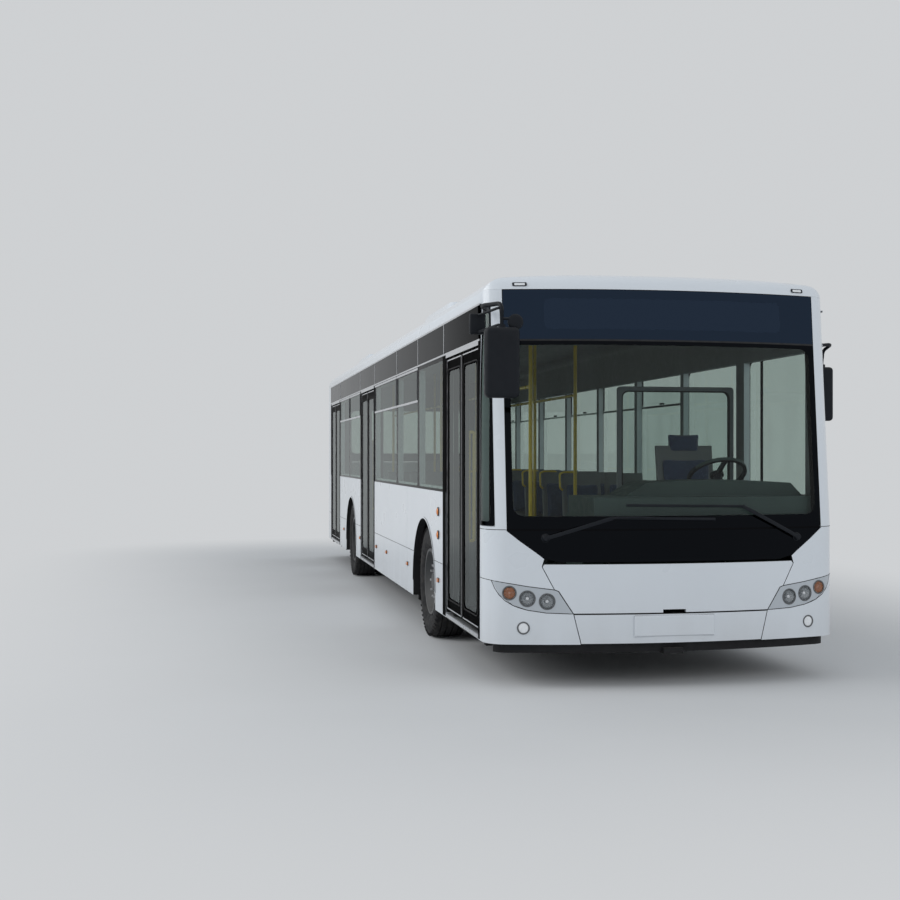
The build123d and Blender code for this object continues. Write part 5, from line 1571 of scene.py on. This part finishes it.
# Node, body, finish and material slot
COPIES = [("underframe", "body", "chassis_paint", "dark_steel"),
          ("front_axle", "body", "chassis_paint", "dark_steel"),
          ("rear_axle", "body", "chassis_paint", "dark_steel"),
          ("engine", "body", "engine_paint", "engine_grey"),
          ("knuckle_left", "knuckle_left", "chassis_paint", "dark_steel"),
          ("knuckle_right", "knuckle_right", "chassis_paint", "dark_steel"),
          ("floor", "body", floor_finish, "floor_grey"),
          ("housings", "body", house_finish, "grey_inner"),
          ("dashboard", "body", dash_finish, "black_plastic"),
          ("grab_rails", "body", "rail_paint", "rail_yellow"),
          ("roof_unit", "body", "white_paint", "white_paint"),
          ("engine_flap", "engine_flap", "white_paint", "white_paint")]


def add_copies():
    """Pieces whose solids already have the full form."""
    for name, body, finish, slot in COPIES:
        piece = Piece(f"{name}_parts", body, slot)
        piece.add(node_form(name), finish)
        piece.done(name, angle=30, edge=0.0 if name in ("housings", "grab_rails") else 0.0015)


def add_driver_cabin():
    """The driver's platform and the partition behind, whose upper part is glazed."""
    cabin = Piece("driver_cabin_parts", slot="grey_inner")
    ahead, behind, aisle, wall, top, sill = 4.010, 3.980, 0.200, 1.2147, 2.150, 1.300
    cabin.add(slab((ahead, 5.079), (aisle, wall), (FLOOR + 0.0003, 0.640), 0.004), "floor_vinyl")

    def place(u, v, out):
        return Vector((ahead + out, u, v))

    outer = rounded((aisle, wall), (FLOOR + 0.0003, top), 0.03, 4)
    pane = rounded(inset((aisle, wall), 0.045), (sill, top - 0.045), 0.05)
    cabin.add(plate([outer, pane], place, 0.0, behind - ahead), "grey_lining")
    seal = rounded(inset((aisle, wall), 0.035), (sill - 0.010, top - 0.035), 0.056)
    cabin.add(plate([seal, pane], place, 0.0015, -0.0315), "seal_rubber")
    cabin.done("driver_cabin", angle=30, edge=0.0015)
    glass = Piece("driver_cabin_glass", slot="glass")
    glass.add(plate([pane], place, -0.012, -0.018), "front_glass")
    glass.done(angle=30)


class BUS_OT_chassis(bpy.types.Operator):
    """Makes the underframe, axles, engine and inner panels"""
    bl_idname = "bus.chassis"
    bl_label = "Chassis and inner panels"

    def execute(self, context):
        add_copies()
        add_driver_cabin()
        return {"FINISHED"}


def cushion(x, y, z, pinch=0.012):
    """A crowned pad whose sides pull in between its corners."""
    net = bmesh.new()
    bmesh.ops.create_cube(net, size=2.0)
    bmesh.ops.subdivide_edges(net, edges=net.edges[:], cuts=7, use_grid_fill=True)
    centre = Vector(((x[0] + x[1]) / 2, (y[0] + y[1]) / 2, (z[0] + z[1]) / 2))
    half = Vector(((x[1] - x[0]) / 2, (y[1] - y[0]) / 2, (z[1] - z[0]) / 2))
    thin = min(range(3), key=lambda axis: half[axis])
    flat = [axis for axis in range(3) if axis != thin]
    # Thinner towards the rim, drawn in between the corners, then rounded like a bar of soap
    for vert in net.verts:
        point = vert.co.copy()
        rim = 1 - (1 - abs(point[flat[0]]) ** 6) * (1 - abs(point[flat[1]]) ** 6)
        point[thin] *= 1.0 - 0.62 * rim
        for first, second in (flat, flat[::-1]):
            point[first] *= 1 - pinch / half[first] * (1 - point[second] ** 2)
        length = max(abs(part) for part in point)
        round_off = (sum(abs(part) ** 8 for part in point)) ** 0.125
        point *= length / round_off if round_off else 1.0
        vert.co = Vector(part * size for part, size in zip(point, half)) + centre
    return from_net(net)


ROW_ROOM, ROW_COUNT = (-1.850, 2.050), 5
ROWS = [ROW_ROOM[1] - (ROW_ROOM[1] - ROW_ROOM[0]) / ROW_COUNT * number for number in range(ROW_COUNT + 1)]
# Rows on the left with one more at the back, and on the right as far as the middle door
SEAT_ROWS = [(x, 1) for x in [*ROWS, -3.900]] + [(x, -1) for x in ROWS if x > 0.36]
SEATS = [(x, side * y, 0.745) for x, side in SEAT_ROWS for y in (0.5425, 0.9875)]
DRIVER_SEAT = (4.650, 0.640, 1.000)
# Side view of a seat's shell from its front edge, the shares of its parts that the pads cover, and
# the foot of each pair: half lengths, heights and edges of its post, plate and beam
SHELL_LINE = [(0.215, 0.012), (-0.195, -0.006), (-0.300, 0.655)]
PAD_SHARES = [(0.06, 0.72), (0.24, 0.86)]
SEAT_FOOT = [(0.060, 0.045, (0.3355, 0.727), 0.012), (0.095, 0.075, (0.3354, 0.347), 0.004),
             (0.090, 0.330, (0.699, 0.7275), 0.008)]
SHELL_HALF, PAD_THICK, PAD_WIDTH = 0.016, 0.038, 0.369


def swollen(length, width):
    margin, cap, base = 0.006, 0.010, 0.0008
    form = cushion(about(0, length / 2 - margin), about(0, width / 2 - margin), (0.001, PAD_THICK - margin))
    even = shaped(form, ("REMESH", {"mode": "VOXEL", "voxel_size": 0.006}))
    pad = held(even)
    cloth = pad.modifiers.new("cloth", "CLOTH")
    cloth.settings.use_pressure = True
    cloth.settings.uniform_pressure_force = 4.0
    cloth.settings.effector_weights.gravity = 0.0
    scene, last_frame = bpy.context.scene, 20
    for number in range(1, last_frame + 1):
        scene.frame_set(number)
    points = [vert.co.copy() for vert in evaluated(pad).data.vertices]
    scene.frame_set(1)
    dropped(pad)
    capped = []
    for start, end in zip(even[0], points):
        way = end - start
        if way.length > cap:
            way = way.normalized() * cap
        place = start + way
        place.z = max(place.z, base)
        capped.append(place)
    return shaped((capped, even[1]), ("SMOOTH", {"factor": 0.5, "iterations": 4}),
                  ("DECIMATE", {"ratio": 0.3}))


def add_seats():
    """Passenger seats and the driver's seat: bent shells on their feet, pads on seat and back."""
    shells = Piece("seat_shells", slot="seat_fabric")
    pads = Piece("seat_cushions", slot="seat_fabric")
    pad_forms = []
    for (x0, z0), (x1, z1), (first, last) in zip(SHELL_LINE, SHELL_LINE[1:], PAD_SHARES):
        length = math.dist((x0, z0), (x1, z1))
        along, out = Vector((x1 - x0, 0, z1 - z0)) / length, Vector((z1 - z0, 0, x0 - x1)) / length
        middle = Vector((x0, 0, z0)) + along * length * (first + last) / 2 + out * (SHELL_HALF + 0.0006)
        turn = Matrix((along, out.cross(along), out)).transposed().to_4x4()
        pad_forms.append((swollen(length * (last - first), PAD_WIDTH), Matrix.Translation(middle) @ turn))
    for place in [*SEATS, DRIVER_SEAT]:
        x, y, base = place
        width = 0.480 if place == DRIVER_SEAT else 0.405
        section = rounded(about(0, width / 2 - 0.001), about(0, SHELL_HALF), 0.011, 3)
        shells.add(swept([(x + u, y, base + v) for u, v in SHELL_LINE], section, 0.062), "seat_shell")
        stretch = Matrix.Diagonal((1, (width - 0.036) / PAD_WIDTH, 1, 1))
        for form, seat in pad_forms:
            pads.add(moved(form, Matrix.Translation(place) @ seat @ stretch), "seat_plush")
    for x, side in sorted(SEAT_ROWS):
        y = side * 0.765
        for half_x, half_y, z, edge in SEAT_FOOT:
            shells.add(slab(about(x, half_x), about(y, half_y), z, edge), "rail_dark")
        # Hand grip along the top of the aisle seat's back: behind the row, out from its line, up
        points = [(x - back, side * (0.345 + out), z) for back, out, z in (
            (0.262, 0.0, 1.235), (0.250, -0.028, 1.255), (0.272, -0.028, 1.395),
            (0.296, 0.020, 1.412), (0.296, 0.150, 1.412), (0.296, 0.155, 1.385))]
        shells.add(tube(points, 0.011, 0.02, 10), "rail_paint")
    shells.add(slab((4.500, 4.760), (0.520, 0.760), (0.6404, 0.984), 0.015), "rail_dark")
    for y in (0.560, 0.720):
        shells.add(tube([(4.352, y, 1.560), (4.352, y, 1.640)], 0.008), "bare_steel")
    shells.done("seats", angle=30)
    pads.add(cushion((4.310, 4.390), (0.510, 0.770), (1.600, 1.750), 0.010), "seat_plush")
    pads.done(angle=60)


class BUS_OT_seats(bpy.types.Operator):
    """Makes the passenger seats and the driver's seat"""
    bl_idname = "bus.seats"
    bl_label = "Seats"

    def execute(self, context):
        add_seats()
        return {"FINISHED"}


def add_floor():
    """The studio floor."""
    half = 60
    ground = bpy.data.meshes.new("stage_floor")
    corners = [(-half, -half, 0), (half, -half, 0), (half, half, 0), (-half, half, 0)]
    ground.from_pydata(corners, [], [(0, 1, 2, 3)])
    ground.materials.append(material("stage_floor"))
    floor = bpy.data.objects.new("stage_floor", ground)
    bpy.context.scene.collection.objects.link(floor)


def add_sky(strength):
    """Even light from all around, which the camera sees as the plain backdrop, also in mirrors and panes."""
    world = bpy.data.worlds.new("studio")
    bpy.context.scene.world = world
    world.use_nodes = True
    tree = world.node_tree
    tree.nodes.clear()
    shaders = []
    for colour, power in (((0.90, 0.95, 1.0), strength), (BACKDROP, 1.0)):
        sky = tree.nodes.new("ShaderNodeBackground")
        sky.inputs["Color"].default_value = (*colour, 1.0)
        sky.inputs["Strength"].default_value = power
        shaders.append(sky.outputs[0])
    rays = tree.nodes.new("ShaderNodeLightPath")
    share = rays.outputs["Is Camera Ray"]
    for name in ("Is Glossy Ray", "Is Transmission Ray"):
        either = tree.nodes.new("ShaderNodeMath")
        either.operation = "MAXIMUM"
        tree.links.new(share, either.inputs[0])
        tree.links.new(rays.outputs[name], either.inputs[1])
        share = either.outputs[0]
    mixed_shader(tree, share, *shaders, tree.nodes.new("ShaderNodeOutputWorld").inputs["Surface"])


def add_lamps(settings):
    """A large soft lamp on the kerb side and a weaker one ahead."""
    for name, place, target, size, power in (
            ("key", (4.0, -14.0, 9.0), (1.0, 0.0, 1.2), 9.0, settings.key_power),
            ("front", (16.0, 5.0, 6.0), (5.0, 0.0, 1.2), 6.0, settings.fill_power)):
        lamp = bpy.data.lights.new(name, "AREA")
        lamp.energy = power
        lamp.size = size
        holder = bpy.data.objects.new(name, lamp)
        holder.visible_glossy = name == "key"
        holder.location = place
        way = Vector(target) - Vector(place)
        holder.rotation_euler = way.to_track_quat("-Z", "Y").to_euler()
        bpy.context.scene.collection.objects.link(holder)


def add_camera(settings):
    """The camera, upright at standing height."""
    view = bpy.data.cameras.new("view")
    view.lens = settings.lens
    view.sensor_width = 36.0
    view.shift_y = settings.raise_view
    view.clip_end = 200.0
    camera = bpy.data.objects.new("view", view)
    camera.location = (settings.camera_x, settings.camera_y, settings.camera_z)
    camera.rotation_euler = (math.pi / 2, 0.0, settings.heading)
    bpy.context.scene.collection.objects.link(camera)
    bpy.context.scene.camera = camera


def add_stage(settings):
    """Floor, sky, lamps and camera."""
    add_floor()
    add_sky(settings.sky)
    add_lamps(settings)
    add_camera(settings)
    bpy.context.scene.view_settings.view_transform = "Standard"


class BUS_OT_stage(bpy.types.Operator):
    """Makes the floor, the lamps and the camera"""
    bl_idname = "bus.stage"
    bl_label = "Stage"

    def execute(self, context):
        add_stage(context.scene.bus_stage)
        return {"FINISHED"}


OPERATORS = [BUS_OT_body_shells, BUS_OT_front_glazing, BUS_OT_side_glazing, BUS_OT_band,
             BUS_OT_doors, BUS_OT_front_lamps, BUS_OT_small_lamps, BUS_OT_front_flap,
             BUS_OT_wipers, BUS_OT_mirrors, BUS_OT_wheels, BUS_OT_chassis, BUS_OT_seats, BUS_OT_stage]


class BUS_PT_pieces(bpy.types.Panel):
    """Lists the pieces of the bus"""
    bl_idname = "BUS_PT_pieces"
    bl_label = "City Bus"
    bl_space_type = "VIEW_3D"
    bl_region_type = "UI"
    bl_category = "City Bus"

    def draw(self, context):
        column = self.layout.column()
        for operator in OPERATORS:
            column.operator(operator.bl_idname)
        for group in ("bus_colours", "bus_stage"):
            settings = getattr(context.scene, group)
            for name in settings.__annotations__:
                column.prop(settings, name)


GROUPS = {"bus_colours": BusColours, "bus_stage": BusStage}


def register():
    """Registers the classes and their settings."""
    for name, group in GROUPS.items():
        bpy.utils.register_class(group)
        setattr(bpy.types.Scene, name, PointerProperty(type=group))
    for operator in [*OPERATORS, BUS_PT_pieces]:
        bpy.utils.register_class(operator)


def unregister():
    """Takes the classes and their settings out again."""
    for operator in reversed([*OPERATORS, BUS_PT_pieces]):
        bpy.utils.unregister_class(operator)
    for name, group in reversed(GROUPS.items()):
        delattr(bpy.types.Scene, name)
        bpy.utils.unregister_class(group)


def main():
    """Makes every piece."""
    register()
    for operator in OPERATORS:
        group, name = operator.bl_idname.split(".")
        if getattr(getattr(bpy.ops, group), name)() != {"FINISHED"}:
            raise RuntimeError(f"{operator.bl_idname} didn't finish")


if __name__ == "__main__":
    main()
